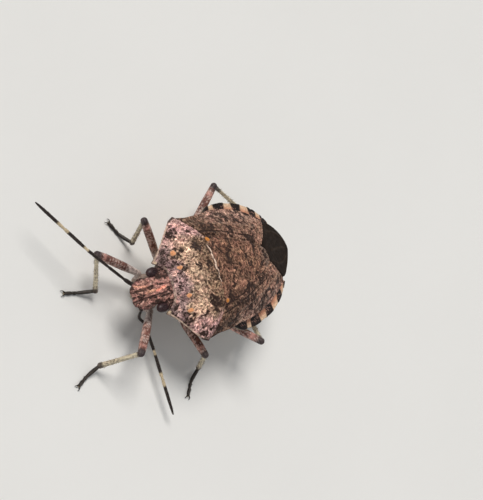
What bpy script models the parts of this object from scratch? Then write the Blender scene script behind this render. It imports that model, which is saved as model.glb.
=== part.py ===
"""A shield bug standing on its six feet, at life size.

Body axes: x to the bug's own left, y from the head's tip to the tail, z up from the belly.
Every size here is in millimetres, and add_solid turns it into metres on the floor.
"""
from math import cos, pi, sin

import bmesh
import bpy
from mathutils import Vector

MM = 0.001
GAP = 0.2
MERGE = 0.0001
CREASE = 0.7
DOME = 0.35

# Driving dimensions of the body.
BODY_LENGTH = 14.6
HUMERAL_Y = 4.35
HEAD_TIP_Y = 0.17
HEAD_TURN = 0.08
NECK_Y = 2.55
HIND_EDGE_Y = 5.42
SCUTELLUM_TIP_Y = 10.8
CORIUM_TIP_Y = 12.75
ABDOMEN_TIP_Y = 14.2
PLATE = 0.52
FILM_PLATE = 0.5
FILM_SINK = 0.08
FLOOR_Z = -1.3
CENTRE_X = 0.446
CENTRE_Y = 5.931

# Seams between the rings of the belly, by y.
BELLY_SEAMS = (9.2, 10.75, 12.05, 13.0)
SEAM_HALF = 0.14
SEAM_DEPTH = 0.06

# Legs and feelers.
LIMB_RADIUS = 0.26
FEELER_RADIUS = 0.25
FEELER_TIP_RADIUS = 0.15
SOLE_HEIGHT = 0.14
SHIN_RADIUS = 0.25
CLAW_LENGTH = 0.42
CLAW_SPREAD = 0.45
CLAW_HEIGHT = 0.06
COXA_RADIUS = 0.31
COXA_TOP = 0.18
COXA_FOOT = -0.45


def profile(*points):
    """A smooth curve through a few hand-set points, held level past its ends."""
    xs = [p[0] for p in points]
    ys = [p[1] for p in points]
    last = len(points) - 1

    def slope(i):
        a = max(i - 1, 0)
        b = min(i + 1, last)
        left = (ys[i] - ys[a]) / (xs[i] - xs[a]) if i > a else None
        right = (ys[b] - ys[i]) / (xs[b] - xs[i]) if b > i else None
        if left is None or right is None:
            return right if left is None else left
        return 0.0 if left * right <= 0 else 2 * left * right / (left + right)

    slopes = [slope(i) for i in range(last + 1)]

    def value(x):
        if x <= xs[0]:
            return ys[0]
        if x >= xs[last]:
            return ys[last]
        i = max(k for k in range(last) if xs[k] <= x)
        h = xs[i + 1] - xs[i]
        t = (x - xs[i]) / h
        start = (1 + 2 * t) * (1 - t) ** 2 * ys[i] + t * (1 - t) ** 2 * h * slopes[i]
        end = t * t * (3 - 2 * t) * ys[i + 1] + t * t * (t - 1) * h * slopes[i + 1]
        return start + end

    return value


def blend(a, b, t):
    return a + (b - a) * t


# Half widths along the body.
head_half = profile((HEAD_TIP_Y, 0.3), (0.26, 0.5), (0.45, 0.7), (0.75, 0.9), (1.05, 1.0),
                    (1.2, 0.97), (1.36, 0.84), (2.0, 0.82), (2.5, 0.9))
shield_half = profile((2.1, 1.6), (2.55, 2.15), (2.93, 2.7), (3.45, 3.42), (3.85, 3.86),
                      (HUMERAL_Y, 4.02), (4.86, 3.87), (5.5, 3.74), (6.5, 3.74), (7.8, 3.82),
                      (9.3, 3.62), (10.7, 3.2), (11.9, 2.6), (CORIUM_TIP_Y, 1.95))
scutellum_half = profile((5.2, 2.3), (5.8, 2.2), (7.7, 1.6), (8.9, 1.15), (9.9, 0.85),
                         (10.5, 0.5), (SCUTELLUM_TIP_Y, 0.16))
# The right wing lies over the left, so the skin shows further out on the right.
film_left = profile((11.05, 0.2), (12.4, 1.42), (12.9, 1.66), (13.3, 1.5), (13.6, 1.18),
                    (13.9, 0.88), (14.25, 0.5), (14.45, 0.25), (BODY_LENGTH, 0.1))
film_right = profile((10.8, 0.85), (11.6, 1.5), (12.15, 1.98), (12.7, 2.06), (13.1, 1.93),
                     (13.42, 1.72), (13.8, 1.4), (14.2, 0.95), (14.42, 0.6), (BODY_LENGTH, 0.25))
abdomen_half = profile((7.0, 3.3), (7.5, 3.75), (8.3, 4.12), (9.2, 4.12), (10.3, 3.92),
                       (11.2, 3.66), (12.1, 3.2), (12.9, 2.58), (13.4, 2.03), (13.8, 1.45),
                       (ABDOMEN_TIP_Y, 0.6))

# Heights along the body: the back's ridge line and its side margins.
ridge_z = profile((0, 1.9), (1, 2.35), (2, 2.75), (2.4, 2.95), (3.2, 3.55), (4.2, 4.15),
                  (5.3, 4.5), (6.8, 4.6), (8.5, 4.42), (SCUTELLUM_TIP_Y, 3.95),
                  (12.5, 3.3), (14.0, 2.72), (BODY_LENGTH, 2.5))
margin_z = profile((0, 1.72), (1.2, 2.05), (2.1, 2.5), (HUMERAL_Y, 3.02), (5.5, 2.9),
                   (8, 2.82), (12.7, 2.8), (BODY_LENGTH, 2.45))
back_half = profile((0, 1.0), (2.1, 1.6), (2.55, 2.15), (2.93, 2.7), (3.45, 3.42),
                    (3.85, 3.86), (HUMERAL_Y, 4.02), (7.8, 3.82), (10.7, 3.2), (12.7, 2.2),
                    (13.6, 1.7), (BODY_LENGTH, 1.2))
belly_z = profile((7.0, 0.3), (8.2, 0.02), (10.5, 0.0), (12.0, 0.35), (13.3, 1.0),
                  (ABDOMEN_TIP_Y, 1.75))
flange_z = profile((7.0, 2.5), (9.0, 2.55), (12.0, 2.5), (ABDOMEN_TIP_Y, 2.3))


def pronotum_front(x):
    """The shield's front edge: a shallow bay for the head between two small teeth."""
    return NECK_Y - 0.41 * min(abs(x) / 1.55, 1.0) ** 4


def pronotum_rear(x):
    """The shield's hind edge: straight over the scutellum, then forward to the shoulders."""
    return HIND_EDGE_Y - 0.5 * max(abs(x) - 2.2, 0) ** 1.3


def back_z(x, y):
    """The height of the back over the whole body."""
    across = min(abs(x) / back_half(y), 1.0)
    return blend(ridge_z(y), margin_z(y), across ** 2.7)


def wing_half(y, side):
    """The wing's outer edge, drawn in a little on the left, where more of the belly shows."""
    drawn_in = 0.25 if side > 0 else 0
    return shield_half(y) - drawn_in * min(max(y - 6.5, 0), 1) * min(max(13 - y, 0), 1)


def film_half(y, side):
    return film_left(y) if side > 0 else film_right(y)


def hill(x, y, cx, cy, rx, ry, height):
    """A low round swelling on a surface."""
    d = ((x - cx) / rx) ** 2 + ((y - cy) / ry) ** 2
    return height * max(1 - d, 0) ** 2


def clear_scene():
    for thing in list(bpy.data.objects):
        bpy.data.objects.remove(thing, do_unlink=True)


def paint(name, colour, roughness):
    material = bpy.data.materials.new(name)
    material.use_nodes = True
    shader = material.node_tree.nodes["Principled BSDF"]
    shader.inputs["Base Color"].default_value = (*colour, 1)
    shader.inputs["Roughness"].default_value = roughness
    shader.inputs["Metallic"].default_value = 0
    return material


def closed_mesh(corners, faces):
    """A mesh in body millimetres with its faces pointing out."""
    mesh = bpy.data.meshes.new("form")
    mesh.from_pydata(corners, [], faces)
    work = bmesh.new()
    work.from_mesh(mesh)
    bmesh.ops.remove_doubles(work, verts=work.verts, dist=MERGE)
    bmesh.ops.triangulate(work, faces=[f for f in work.faces if len(f.verts) > 3])
    bmesh.ops.recalc_face_normals(work, faces=work.faces)
    work.to_mesh(mesh)
    work.free()
    return mesh


def keep_largest(mesh):
    """Drop every loose surface but the one with the most faces."""
    work = bmesh.new()
    work.from_mesh(mesh)
    waiting = set(work.faces)
    surfaces = []
    while waiting:
        edge_of = [waiting.pop()]
        surface = list(edge_of)
        while edge_of:
            face = edge_of.pop()
            near = {f for e in face.edges for f in e.link_faces if f in waiting}
            waiting -= near
            edge_of += near
            surface += near
        surfaces.append(surface)
    surfaces.sort(key=len)
    for surface in surfaces[:-1]:
        bmesh.ops.delete(work, geom=surface, context="FACES")
    bmesh.ops.triangulate(work, faces=work.faces)
    work.to_mesh(mesh)
    work.free()


def fuse(meshes):
    """One closed mesh from several closed ones that cross."""
    group = bpy.data.collections.new("join")
    pieces = [bpy.data.objects.new("join", mesh) for mesh in meshes]
    base = pieces[0]
    bpy.context.scene.collection.objects.link(base)
    for piece in pieces[1:]:
        group.objects.link(piece)
    joining = base.modifiers.new("join", "BOOLEAN")
    joining.operation = "UNION"
    joining.operand_type = "COLLECTION"
    joining.collection = group
    view = bpy.context.evaluated_depsgraph_get()
    joined = bpy.data.meshes.new_from_object(base.evaluated_get(view))
    for piece in pieces:
        bpy.data.objects.remove(piece)
    bpy.data.collections.remove(group)
    keep_largest(joined)
    return joined


def add_solid(name, mesh, colour, roughness=0.6):
    """One named solid, from body millimetres to metres with the floor at zero."""
    work = bmesh.new()
    work.from_mesh(mesh)
    bmesh.ops.translate(work, verts=work.verts, vec=(-CENTRE_X, -CENTRE_Y, -FLOOR_Z))
    bmesh.ops.scale(work, verts=work.verts, vec=(MM, MM, MM))
    work.to_mesh(mesh)
    work.free()
    mesh.name = name
    mesh.shade_smooth()
    mesh.set_sharp_from_angle(angle=CREASE)
    mesh.materials.clear()
    mesh.materials.append(paint(name, colour, roughness))
    solid = bpy.data.objects.new(name, mesh)
    bpy.context.scene.collection.objects.link(solid)


def split(a, b, c, d, flip):
    """A grid cell as two triangles, alike on both faces of a plate."""
    return [(a, b, c), (a, c, d)] if flip else [(a, b, d), (b, c, d)]


def plate(name, plan, top, bottom, columns, rows, colour, roughness=0.6, tuck=None):
    """A closed plate over a plan of (u, v), u from -1 to 1 across and v from 0 to 1 back.

    tuck moves (u, v) inward for the underside, so that the edge slopes in below.
    """
    grid = [(2 * i / columns - 1, j / rows) for j in range(rows + 1) for i in range(columns + 1)]
    upper = [plan(u, v) for u, v in grid]
    lower = [plan(*(tuck(u, v) if tuck else (u, v))) for u, v in grid]
    corners = [(x, y, top(x, y)) for x, y in upper]
    corners += [(x, y, bottom(x, y)) for x, y in lower]
    wide = columns + 1
    under = wide * (rows + 1)
    faces = []
    for j in range(rows):
        for i in range(columns):
            a = j * wide + i
            cell = (a, a + 1, a + 1 + wide, a + wide)
            flip = i < columns / 2
            faces += split(*cell, flip)
            faces += [tri[::-1] for tri in split(*[c + under for c in cell], flip)]
    rim = list(range(wide))
    rim += [j * wide + columns for j in range(1, rows + 1)]
    rim += [rows * wide + i for i in range(columns - 1, -1, -1)]
    rim += [j * wide for j in range(rows - 1, 0, -1)]
    for a, b in zip(rim, rim[1:] + rim[:1]):
        faces.append((b, a, a + under, b + under))
    add_solid(name, closed_mesh(corners, faces), colour, roughness)


def route(points, count):
    """Evenly numbered places on a smooth curve through a few points."""
    knots = [Vector(p) for p in points]
    knots = [2 * knots[0] - knots[1]] + knots + [2 * knots[-1] - knots[-2]]
    spans = len(points) - 1
    out = []
    for step in range(count + 1):
        place = min(step / count * spans, spans - 1e-9)
        i = int(place)
        t = place - i
        a, b, c, d = knots[i:i + 4]
        out.append(0.5 * (2 * b + (c - a) * t + (2 * a - 5 * b + 4 * c - d) * t * t
                          + (3 * b - a - 3 * c + d) * t ** 3))
    return out


def tube(points, radius, rings=6, sides=8, floor=None):
    """A round-ended limb along a route, with radius(t) for t from 0 to 1, flat on a floor."""
    centres = route(points, rings)
    first = (centres[1] - centres[0]).normalized()
    final = (centres[-1] - centres[-2]).normalized()
    stations = [(centres[0], radius(0) * 0.7)]
    stations.append((centres[0] + first * DOME * radius(0), radius(0)))
    stations += [(centres[i], radius(i / rings)) for i in range(1, rings)]
    stations.append((centres[-1] - final * DOME * radius(1), radius(1)))
    stations.append((centres[-1], radius(1) * 0.7))
    corners = []
    faces = []
    side = None
    for k, (centre, size) in enumerate(stations):
        ahead = stations[min(k + 1, len(stations) - 1)][0]
        behind = stations[max(k - 1, 0)][0]
        along = (ahead - behind).normalized()
        side = Vector((0, 0, 1)).cross(along).normalized() if side is None else side
        side = (side - along * side.dot(along)).normalized()
        lift = along.cross(side)
        for s in range(sides):
            angle = 2 * pi * (s + 0.5) / sides
            corner = centre + size * (cos(angle) * side + sin(angle) * lift)
            corner.z = corner.z if floor is None else max(corner.z, floor)
            corners.append(tuple(corner))
    for k in range(len(stations) - 1):
        for s in range(sides):
            a = k * sides + s
            b = k * sides + (s + 1) % sides
            faces += [(a, b, b + sides), (a, b + sides, a + sides)]
    faces.append(tuple(range(sides))[::-1])
    faces.append(tuple(range(len(corners) - sides, len(corners))))
    return closed_mesh(corners, faces)


def step_off(start, toward, distance):
    """The place at a distance from start on the way to another place."""
    a = Vector(start)
    return a + (Vector(toward) - a).normalized() * distance


def build_head():
    def axis(y):
        return HEAD_TURN * (1 - y / NECK_Y)

    def plan(u, v):
        rear = pronotum_front(head_half(NECK_Y) * u) - GAP
        y = blend(HEAD_TIP_Y, rear, v)
        return u * head_half(y) + axis(y), y

    def top(x, y):
        off = abs(x - axis(y))
        tylus = 0.1 * max(1 - (off / 0.3) ** 2, 0)
        groove = 0.06 * max(1 - ((off - 0.34) / 0.1) ** 2, 0)
        base = blend(ridge_z(y), margin_z(y), min(off / head_half(y), 1.0) ** 2.5)
        return base + (tylus - groove) * min((y - HEAD_TIP_Y) / 0.5, 1)

    def bottom(x, y):
        across = min(abs(x - axis(y)) / head_half(y), 1.0)
        keel = blend(1.45, 1.18, min(y / 1.5, 1))
        return blend(keel, margin_z(y) - 0.5, across ** 2)

    plate("head", plan, top, bottom, 12, 12, (0.2, 0.1, 0.08),
          tuck=lambda u, v: (0.72 * u, blend(0.25, 1, v)))


def build_eye(name, side):
    """A half ball against the cheek, flat on its inner face."""
    centre = Vector((0.85 + GAP, 1.83, 2.42))
    wide = 0.38
    long = 0.42
    high = 0.33
    rows = 6
    sides = 12
    corners = []
    for k in range(rows):
        angle = pi / 2 * k / rows
        for s in range(sides):
            turn = 2 * pi * s / sides
            x = centre.x + wide * sin(angle)
            y = centre.y + long * cos(angle) * cos(turn)
            z = centre.z + high * cos(angle) * sin(turn)
            corners.append((side * x, y, z))
    corners.append((side * (centre.x + wide), centre.y, centre.z))
    faces = [tuple(range(sides))]
    for k in range(rows - 1):
        for s in range(sides):
            a = k * sides + s
            b = k * sides + (s + 1) % sides
            faces += [(a, b, b + sides), (a, b + sides, a + sides)]
    peak = len(corners) - 1
    base = (rows - 1) * sides
    faces += [(base + s, base + (s + 1) % sides, peak) for s in range(sides)]
    add_solid(name, closed_mesh(corners, faces), (0.05, 0.02, 0.025), 0.2)


def build_pronotum():
    def plan(u, v):
        y_side = blend(2.1, HUMERAL_Y, v)
        edge = shield_half(y_side)
        x = u * edge
        y = blend(pronotum_front(x), pronotum_rear(x), v)
        slack = y_side - blend(pronotum_front(edge), pronotum_rear(edge), v)
        return x, y + slack * abs(u) ** 4

    def top(x, y):
        warts = sum(hill(abs(x), y, cx, cy, 0.3, 0.22, 0.09)
                    for cx, cy in ((1.8, 3.1), (0.9, 3.3)))
        rim = 0.07 * max(abs(x) / shield_half(y), 0) ** 12
        return back_z(x, y) + warts + rim

    def bottom(x, y):
        return back_z(x, y) - PLATE - 0.3 * min(abs(x) / shield_half(y), 1) ** 6

    plate("pronotum", plan, top, bottom, 26, 12, (0.36, 0.26, 0.2),
          tuck=lambda u, v: (0.88 * u, blend(0.1, 1, v)))


def build_scutellum():
    front = HIND_EDGE_Y + GAP

    def plan(u, v):
        y = blend(front, SCUTELLUM_TIP_Y, v)
        return u * scutellum_half(y), y

    def top(x, y):
        return back_z(x, y) + 0.05 * (1 - (x / scutellum_half(y)) ** 2)

    plate("scutellum", plan, top, lambda x, y: back_z(x, y) - PLATE, 12, 12, (0.3, 0.2, 0.15))


def corium_inner(y, side):
    """The wing's inner edge: beside the scutellum, then along its own oblique hind edge."""
    beside = scutellum_half(y) + GAP
    if side > 0:
        oblique = 0.5 + 0.74 * max(y - 10.85, 0)
    else:
        oblique = 0.83 + 0.82 * max(y - 10.44, -0.15)
    return max(beside, oblique)


def build_corium(name, side):
    front = HIND_EDGE_Y + 0.23
    rear = CORIUM_TIP_Y - (0.1 if side > 0 else 0.5)

    def plan(u, v):
        y_mid = blend(front, rear, v)
        t = (u * side + 1) / 2
        fore = (1 - v) ** 3
        x = blend(corium_inner(y_mid, side), wing_half(y_mid - 0.85 * fore, side), t)
        lead = pronotum_rear(x) + GAP
        return side * x, y_mid + (lead - front) * fore

    def top(x, y):
        inner = corium_inner(y, side)
        t = (abs(x) - inner) / (wing_half(y, side) - inner)
        vein = 0.06 * max(1 - ((t - 0.55) / 0.08) ** 2, 0) * min((rear - y) / 1.5, 1)
        return back_z(x, y) + max(vein, 0)

    def tuck(u, v):
        return side * min(u * side, 1 - 0.14 * (u * side + 1) / 2), v

    plate(name, plan, top, lambda x, y: back_z(x, y) - PLATE, 12, 14, (0.3, 0.21, 0.16),
          tuck=tuck)


def build_membrane():
    front = SCUTELLUM_TIP_Y + GAP + 0.05
    veins = 5

    def plan(u, v):
        lead = front - 0.25 * max(-u, 0)
        y = blend(lead, BODY_LENGTH, v ** 0.9)
        return u * film_half(y, u), y

    def top(x, y):
        across = x / film_half(y, x)
        ridge = 0.05 * max(cos(across * veins * pi), 0) * min((y - front) / 1.2, 1)
        return back_z(x, y) - FILM_SINK + ridge * min((BODY_LENGTH - y) / 0.5, 1)

    plate("membrane", plan, top, lambda x, y: back_z(x, y) - FILM_SINK - FILM_PLATE, 20, 10,
          (0.05, 0.04, 0.035), 0.35, tuck=lambda u, v: (0.9 * u, 0.94 * v))


def build_thorax():
    front = 2.75
    rear = 6.9

    def half(y):
        return min(shield_half(y), shield_half(y - 0.5)) - 0.65

    def plan(u, v):
        y = blend(front, rear, v)
        return u * half(y), y

    def top(x, y):
        edge = 0.3 * min(abs(x) / shield_half(y), 1) ** 6
        return back_z(x, y) - PLATE - GAP - edge

    def bottom(x, y):
        edge = top(half(y), y) - 0.4
        keel = blend(0.42, 1.0, max(3.4 - y, 0) / (3.4 - front))
        return blend(keel, edge, min(abs(x) / half(y), 1) ** 2)

    plate("thorax", plan, top, bottom, 12, 9, (0.4, 0.32, 0.22),
          tuck=lambda u, v: (0.92 * u, blend(0.06, 1, v)))


def build_abdomen():
    """The belly under the wings, with the banded flange that shows past their edge."""
    cover = 0.7
    lip = 0.8
    stations = [7.1, 7.6, 8.1, 8.7]
    for k, seam in enumerate(BELLY_SEAMS):
        stations += [seam - SEAM_HALF, seam, seam + SEAM_HALF]
        later = BELLY_SEAMS[k + 1] if k + 1 < len(BELLY_SEAMS) else ABDOMEN_TIP_Y
        stations += [blend(seam, later, 0.5)]
    stations += [blend(stations[-1], ABDOMEN_TIP_Y, 0.55), ABDOMEN_TIP_Y]
    rows = len(stations) - 1

    def plan(u, v):
        y = stations[round(v * rows)]
        edge = abdomen_half(y) - SEAM_DEPTH * (y in BELLY_SEAMS)
        under = min(wing_half(y, u) + 0.06, edge - 0.25)
        t = abs(u)
        if t < (cover + lip) / 2:
            x = under * t / cover
        else:
            x = blend(min(under + GAP, edge - 0.1), edge, (t - lip) / (1 - lip))
        return (x if u > 0 else -x), y

    def top(x, y):
        covered = back_z(x, y) - PLATE - GAP
        if y > CORIUM_TIP_Y - 0.6:
            covered = back_z(x, y) - PLATE - GAP - 0.1
        past = abs(x) - wing_half(y, x)
        if past < 0.1 or y > CORIUM_TIP_Y:
            return min(covered, flange_z(y))
        return max(flange_z(y), covered)

    def bottom(x, y):
        across = min(abs(x) / abdomen_half(y), 1)
        seam = SEAM_DEPTH * (y in BELLY_SEAMS)
        return blend(belly_z(y), flange_z(y) - 0.5, across ** 2.2) + seam

    plate("abdomen", plan, top, bottom, 20, rows, (0.42, 0.32, 0.24))


def build_rostrum():
    points = ((0, 1.65, 0.74), (0, 2.5, 0.35), (0, 3.7, -0.02), (0, 6.4, -0.1))
    beak = tube(points, lambda t: blend(0.27, 0.24, t), 6, 6)
    add_solid("rostrum", beak, (0.25, 0.17, 0.12))


# Each leg: hip, knee, ankle and claw tip, in body millimetres.
LEGS = {
    "fore_right": ((-1.25, 2.75, 0.3), (-3.07, -0.72, 0.95), (-0.98, -0.31, -0.6),
                   (-1.44, -2.52, -1.14)),
    "mid_right": ((-1.4, 5.2, -0.3), (-4.3, 3.15, 1.75), (-3.24, 3.92, -0.7),
                  (-5.09, 2.81, -1.14)),
    "hind_right": ((-1.5, 6.75, -0.35), (-5.37, 10.48, 1.4), (-3.52, 14.5, -0.7),
                   (-2.8, 16.2, -1.14)),
    "fore_left": ((1.21, 2.73, 0.35), (3.45, -0.3, 1.75), (3.47, -1.6, -0.7),
                  (4.35, -3.45, -1.14)),
    "mid_left": ((1.4, 5.35, -0.3), (4.9, 5.05, 1.6), (5.7, 6.4, -0.7),
                 (7.4, 5.1, -1.14)),
    "hind_left": ((1.5, 6.75, -0.35), (5.25, 9.51, 2.4), (3.8, 12.4, -0.75),
                  (3.6, 14.5, -1.14)),
}

# Each feeler: the ends of its five pieces, from the cheek to the tip.
FEELERS = {
    "right": ((-0.78, 1.0, 1.18), (-1.13, 0.66, 1.2), (-2.12, -0.46, 1.38),
              (-3.49, -1.98, 1.65), (-5.04, -3.0, 1.4), (-6.97, -4.37, 1.2)),
    "left": ((0.72, 1.25, 1.12), (0.98, 1.66, 0.76), (1.85, 2.4, -0.08),
             (3.72, 2.6, -0.2), (5.4, 2.7, -0.3), (7.91, 2.85, -0.45)),
}
FEELER_BENDS = {("left", 2): (1.4, 1.93, 0.1)}


def build_leg(name, hip, knee, ankle, tip):
    """Coxa, femur, tibia and tarsus, each short of the next by the gap."""
    inner = hip[0] - (COXA_RADIUS + GAP) * (1 if hip[0] > 0 else -1)
    coxa = ((inner, hip[1] + 0.25, COXA_TOP), (inner, hip[1] + 0.1, COXA_FOOT))
    add_solid(f"{name}_coxa", tube(coxa, lambda t: COXA_RADIUS, 1), (0.45, 0.35, 0.25))
    thigh = tube((hip, knee), lambda t: LIMB_RADIUS * (0.96 + 0.1 * sin(pi * t)), 4)
    add_solid(f"{name}_femur", thigh, (0.35, 0.2, 0.17))
    shin_top = step_off(knee, ankle, LIMB_RADIUS + GAP)
    shin = tube((shin_top, step_off(ankle, knee, GAP)), lambda t: SHIN_RADIUS, 3)
    add_solid(f"{name}_tibia", shin, (0.4, 0.34, 0.28))
    add_solid(f"{name}_tarsus", foot_mesh(ankle, tip), (0.04, 0.03, 0.03))


def foot_mesh(ankle, tip):
    """Three joints down to the floor, with a flat sole and two claws."""
    start = step_off(ankle, tip, 0.1)
    low = FLOOR_Z + SOLE_HEIGHT
    middle = (blend(ankle[0], tip[0], 0.5), blend(ankle[1], tip[1], 0.5), low + 0.02)
    end = step_off(tip, middle, CLAW_LENGTH * 0.7)
    end.z = low
    joints = tube((start, middle, end), lambda t: blend(0.25, 0.2, t) - 0.04 * sin(3 * pi * t) ** 8,
                  9, 8, FLOOR_Z)
    ahead = (Vector(tip) - end).normalized()
    across = ahead.cross(Vector((0, 0, 1))).normalized()
    claws = []
    for side in (-1, 1):
        root = end - 0.12 * ahead + 0.06 * side * across
        point = root + CLAW_LENGTH * (ahead + CLAW_SPREAD * side * across)
        point.z = FLOOR_Z + CLAW_HEIGHT
        claws.append(tube((root, point), lambda t: blend(0.09, 0.04, t), 2, 5))
    return fuse([joints] + claws)


def build_feeler(name, joints):
    for k in range(5):
        start = step_off(joints[k], joints[k + 1], GAP * 0.5)
        end = step_off(joints[k + 1], joints[k], GAP * 0.5 if k < 4 else 0)
        slim = FEELER_TIP_RADIUS if k == 4 else FEELER_RADIUS
        bend = FEELER_BENDS.get((name, k + 1))
        places = (start, bend, end) if bend else (start, end)
        piece = tube(places, lambda t: blend(FEELER_RADIUS, slim, t), 4 if bend else 2, 6)
        add_solid(f"antenna_{name}_{k + 1}", piece, (0.04, 0.03, 0.03))


def build_bug():
    clear_scene()
    build_head()
    build_eye("eye_left", 1)
    build_eye("eye_right", -1)
    build_rostrum()
    build_pronotum()
    build_thorax()
    build_scutellum()
    build_corium("corium_left", 1)
    build_corium("corium_right", -1)
    build_membrane()
    build_abdomen()
    for name, places in LEGS.items():
        build_leg(name, *places)
    for name, joints in FEELERS.items():
        build_feeler(name, joints)


build_bug()
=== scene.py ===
"""The looks of a shield bug: every plate, limb and feeler as a fine mesh with its own material.

Shapes are worked out in body millimetres: x to the bug's own left, y from the head's tip to
the tail, z up from the belly. The function world() turns them into metres on the floor.
"""
from math import cos, pi, radians, sin

import bmesh
import bpy
import numpy as np
from mathutils import Matrix, Vector

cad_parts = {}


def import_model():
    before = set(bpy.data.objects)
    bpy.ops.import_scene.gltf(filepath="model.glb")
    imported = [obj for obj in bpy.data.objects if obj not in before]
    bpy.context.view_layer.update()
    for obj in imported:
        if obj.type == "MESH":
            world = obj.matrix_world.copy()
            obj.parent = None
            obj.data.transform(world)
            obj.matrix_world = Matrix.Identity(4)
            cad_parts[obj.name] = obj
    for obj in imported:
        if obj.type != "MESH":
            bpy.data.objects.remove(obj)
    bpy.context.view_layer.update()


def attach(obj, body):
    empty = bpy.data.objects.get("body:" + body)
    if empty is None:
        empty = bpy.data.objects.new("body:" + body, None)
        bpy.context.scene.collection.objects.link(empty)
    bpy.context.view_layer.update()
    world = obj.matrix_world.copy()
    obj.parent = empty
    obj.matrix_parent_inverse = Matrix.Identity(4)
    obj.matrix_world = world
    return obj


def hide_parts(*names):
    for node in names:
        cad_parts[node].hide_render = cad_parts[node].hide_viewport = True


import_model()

MM = 0.001
BODY_LENGTH = 14.6
HEAD_TIP_Y = 0.17
HEAD_TURN = 0.08
NECK_Y = 2.55
CORNER_Y = 2.1
HUMERAL_Y = 4.35
HIND_EDGE_Y = 5.42
SCUTELLUM_ROOT_Y = 5.2
SCUTELLUM_TIP_Y = 10.8
CORIUM_TIP_Y = 12.75
ABDOMEN_TIP_Y = 14.2
BELLY_SEAMS = (7.75, 9.2, 10.75, 12.05, 13.0, 13.55)
FLOOR_Z = -1.3
SOLE_Z = FLOOR_Z + 0.11
PLATE_DEPTH = 0.4
WING_DEPTH = 0.42
CENTRE = np.array([0.446, 5.931, FLOOR_Z])

# The photograph's view, from a fit of the body's landmarks.
CAMERA_ELEVATION = 43.007
CAMERA_TURN = -0.111
CAMERA_ROLL = 73.403
CAMERA_PLACE = (-0.948, -64.532, 72.096)
CAMERA_LENS = 112.89
SENSOR = 36.0

# How finely a plate's rim is rounded, how far a tube's end bulges in radii, and the hairs.
RIM_STEPS = (0.12, 0.35, 0.65, 0.88)
TUBE_END = 0.9
HAIR_SPAN = (0.05, 0.98)
HAIR_WIDTH = 0.012

# The punctures' spacing and seed on each plate, and how deep the leather shows them.
HEAD_PITS = (0.15, 5)
SHIELD_PITS = (0.19, 1)
SCUTELLUM_PITS = (0.21, 2)
THORAX_PITS = (0.24, 6)
WING_PITS = {1: (0.19, 4), -1: (0.19, 2)}
PIT_DEPTH = 0.02

# Colours, in linear light.
CREAM = (0.74, 0.56, 0.38)
SALMON = (0.66, 0.33, 0.23)
UMBER = (0.2, 0.12, 0.085)
PLUM = (0.17, 0.085, 0.08)
WARM_ORANGE = (0.9, 0.4, 0.19)
BLACK = (0.012, 0.009, 0.008)
PITCH = (0.04, 0.021, 0.016)
STRAW = (0.52, 0.45, 0.33)


def world(points):
    """Body millimetres to world metres."""
    return (np.asarray(points, float) - CENTRE) * MM


def put(name, data):
    """A new object in the scene."""
    made = bpy.data.objects.new(name, data)
    bpy.context.scene.collection.objects.link(made)
    return made


def unit(vector):
    return vector / np.linalg.norm(vector)


def blend(a, b, t):
    return a + (b - a) * t


def clamp(t):
    return np.clip(t, 0.0, 1.0)


def smooth(low, high, x):
    """0 below low and 1 above high, with a soft step between."""
    t = clamp((x - low) / (high - low))
    return t * t * (3 - 2 * t)


def fall(low, high, x):
    """1 below low and 0 above high."""
    return 1 - smooth(low, high, x)


def bell(x, width):
    """A soft ridge, 1 high where x is 0."""
    return np.exp(-(x / width) ** 2)


def dye(a, b, t):
    """Colours between a and b, with a share t for each point."""
    return blend(np.asarray(a, float), np.asarray(b, float), t[:, None])


def profile(*points):
    """A smooth curve through a few given points, held level past its ends."""
    xs = np.array([p[0] for p in points], float)
    ys = np.array([p[1] for p in points], float)
    step = np.diff(ys) / np.diff(xs)
    inner = [0.0 if a * b <= 0 else 2 * a * b / (a + b) for a, b in zip(step, step[1:])]
    slopes = np.array([step[0], *inner, step[-1]])

    def value(x):
        x = np.clip(np.asarray(x, float), xs[0], xs[-1])
        i = np.clip(np.searchsorted(xs, x, side="right") - 1, 0, len(xs) - 2)
        h = xs[i + 1] - xs[i]
        t = (x - xs[i]) / h
        start = (1 + 2 * t) * (1 - t) ** 2 * ys[i] + t * (1 - t) ** 2 * h * slopes[i]
        end = t * t * (3 - 2 * t) * ys[i + 1] + t * t * (t - 1) * h * slopes[i + 1]
        return start + end

    return value


# Half widths and heights along the body, as in the solids.
head_half = profile((HEAD_TIP_Y, 0.26), (0.22, 0.42), (0.3, 0.56), (0.45, 0.71), (0.75, 0.9),
                    (1.05, 1.0), (1.2, 0.98), (1.36, 0.9), (1.6, 0.88), (2.0, 0.95), (2.3, 1.22),
                    (2.6, 1.3))
shield_half = profile((2.1, 1.6), (2.55, 2.15), (2.93, 2.7), (3.45, 3.42), (3.85, 3.86),
                      (HUMERAL_Y, 4.02), (4.86, 3.87), (5.5, 3.74), (6.5, 3.74), (7.8, 3.82),
                      (9.3, 3.62), (10.7, 3.2), (11.9, 2.6), (CORIUM_TIP_Y, 1.95))
scutellum_half = profile((5.2, 2.3), (5.8, 2.2), (7.7, 1.6), (8.9, 1.15), (9.9, 0.85),
                         (10.5, 0.5), (10.72, 0.3), (SCUTELLUM_TIP_Y, 0.05))
film_left = profile((10.2, 0.9), (11.05, 0.8), (12.4, 1.6), (12.9, 1.68), (13.3, 1.52),
                    (13.6, 1.2), (13.9, 0.89), (14.25, 0.5), (14.45, 0.24), (BODY_LENGTH, 0.02))
film_right = profile((10.2, 0.9), (10.8, 1.2), (11.6, 1.75), (12.15, 2.1), (12.7, 2.08),
                     (13.1, 1.94), (13.42, 1.73), (13.8, 1.41), (14.2, 0.96), (14.42, 0.62),
                     (BODY_LENGTH, 0.22))
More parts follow.
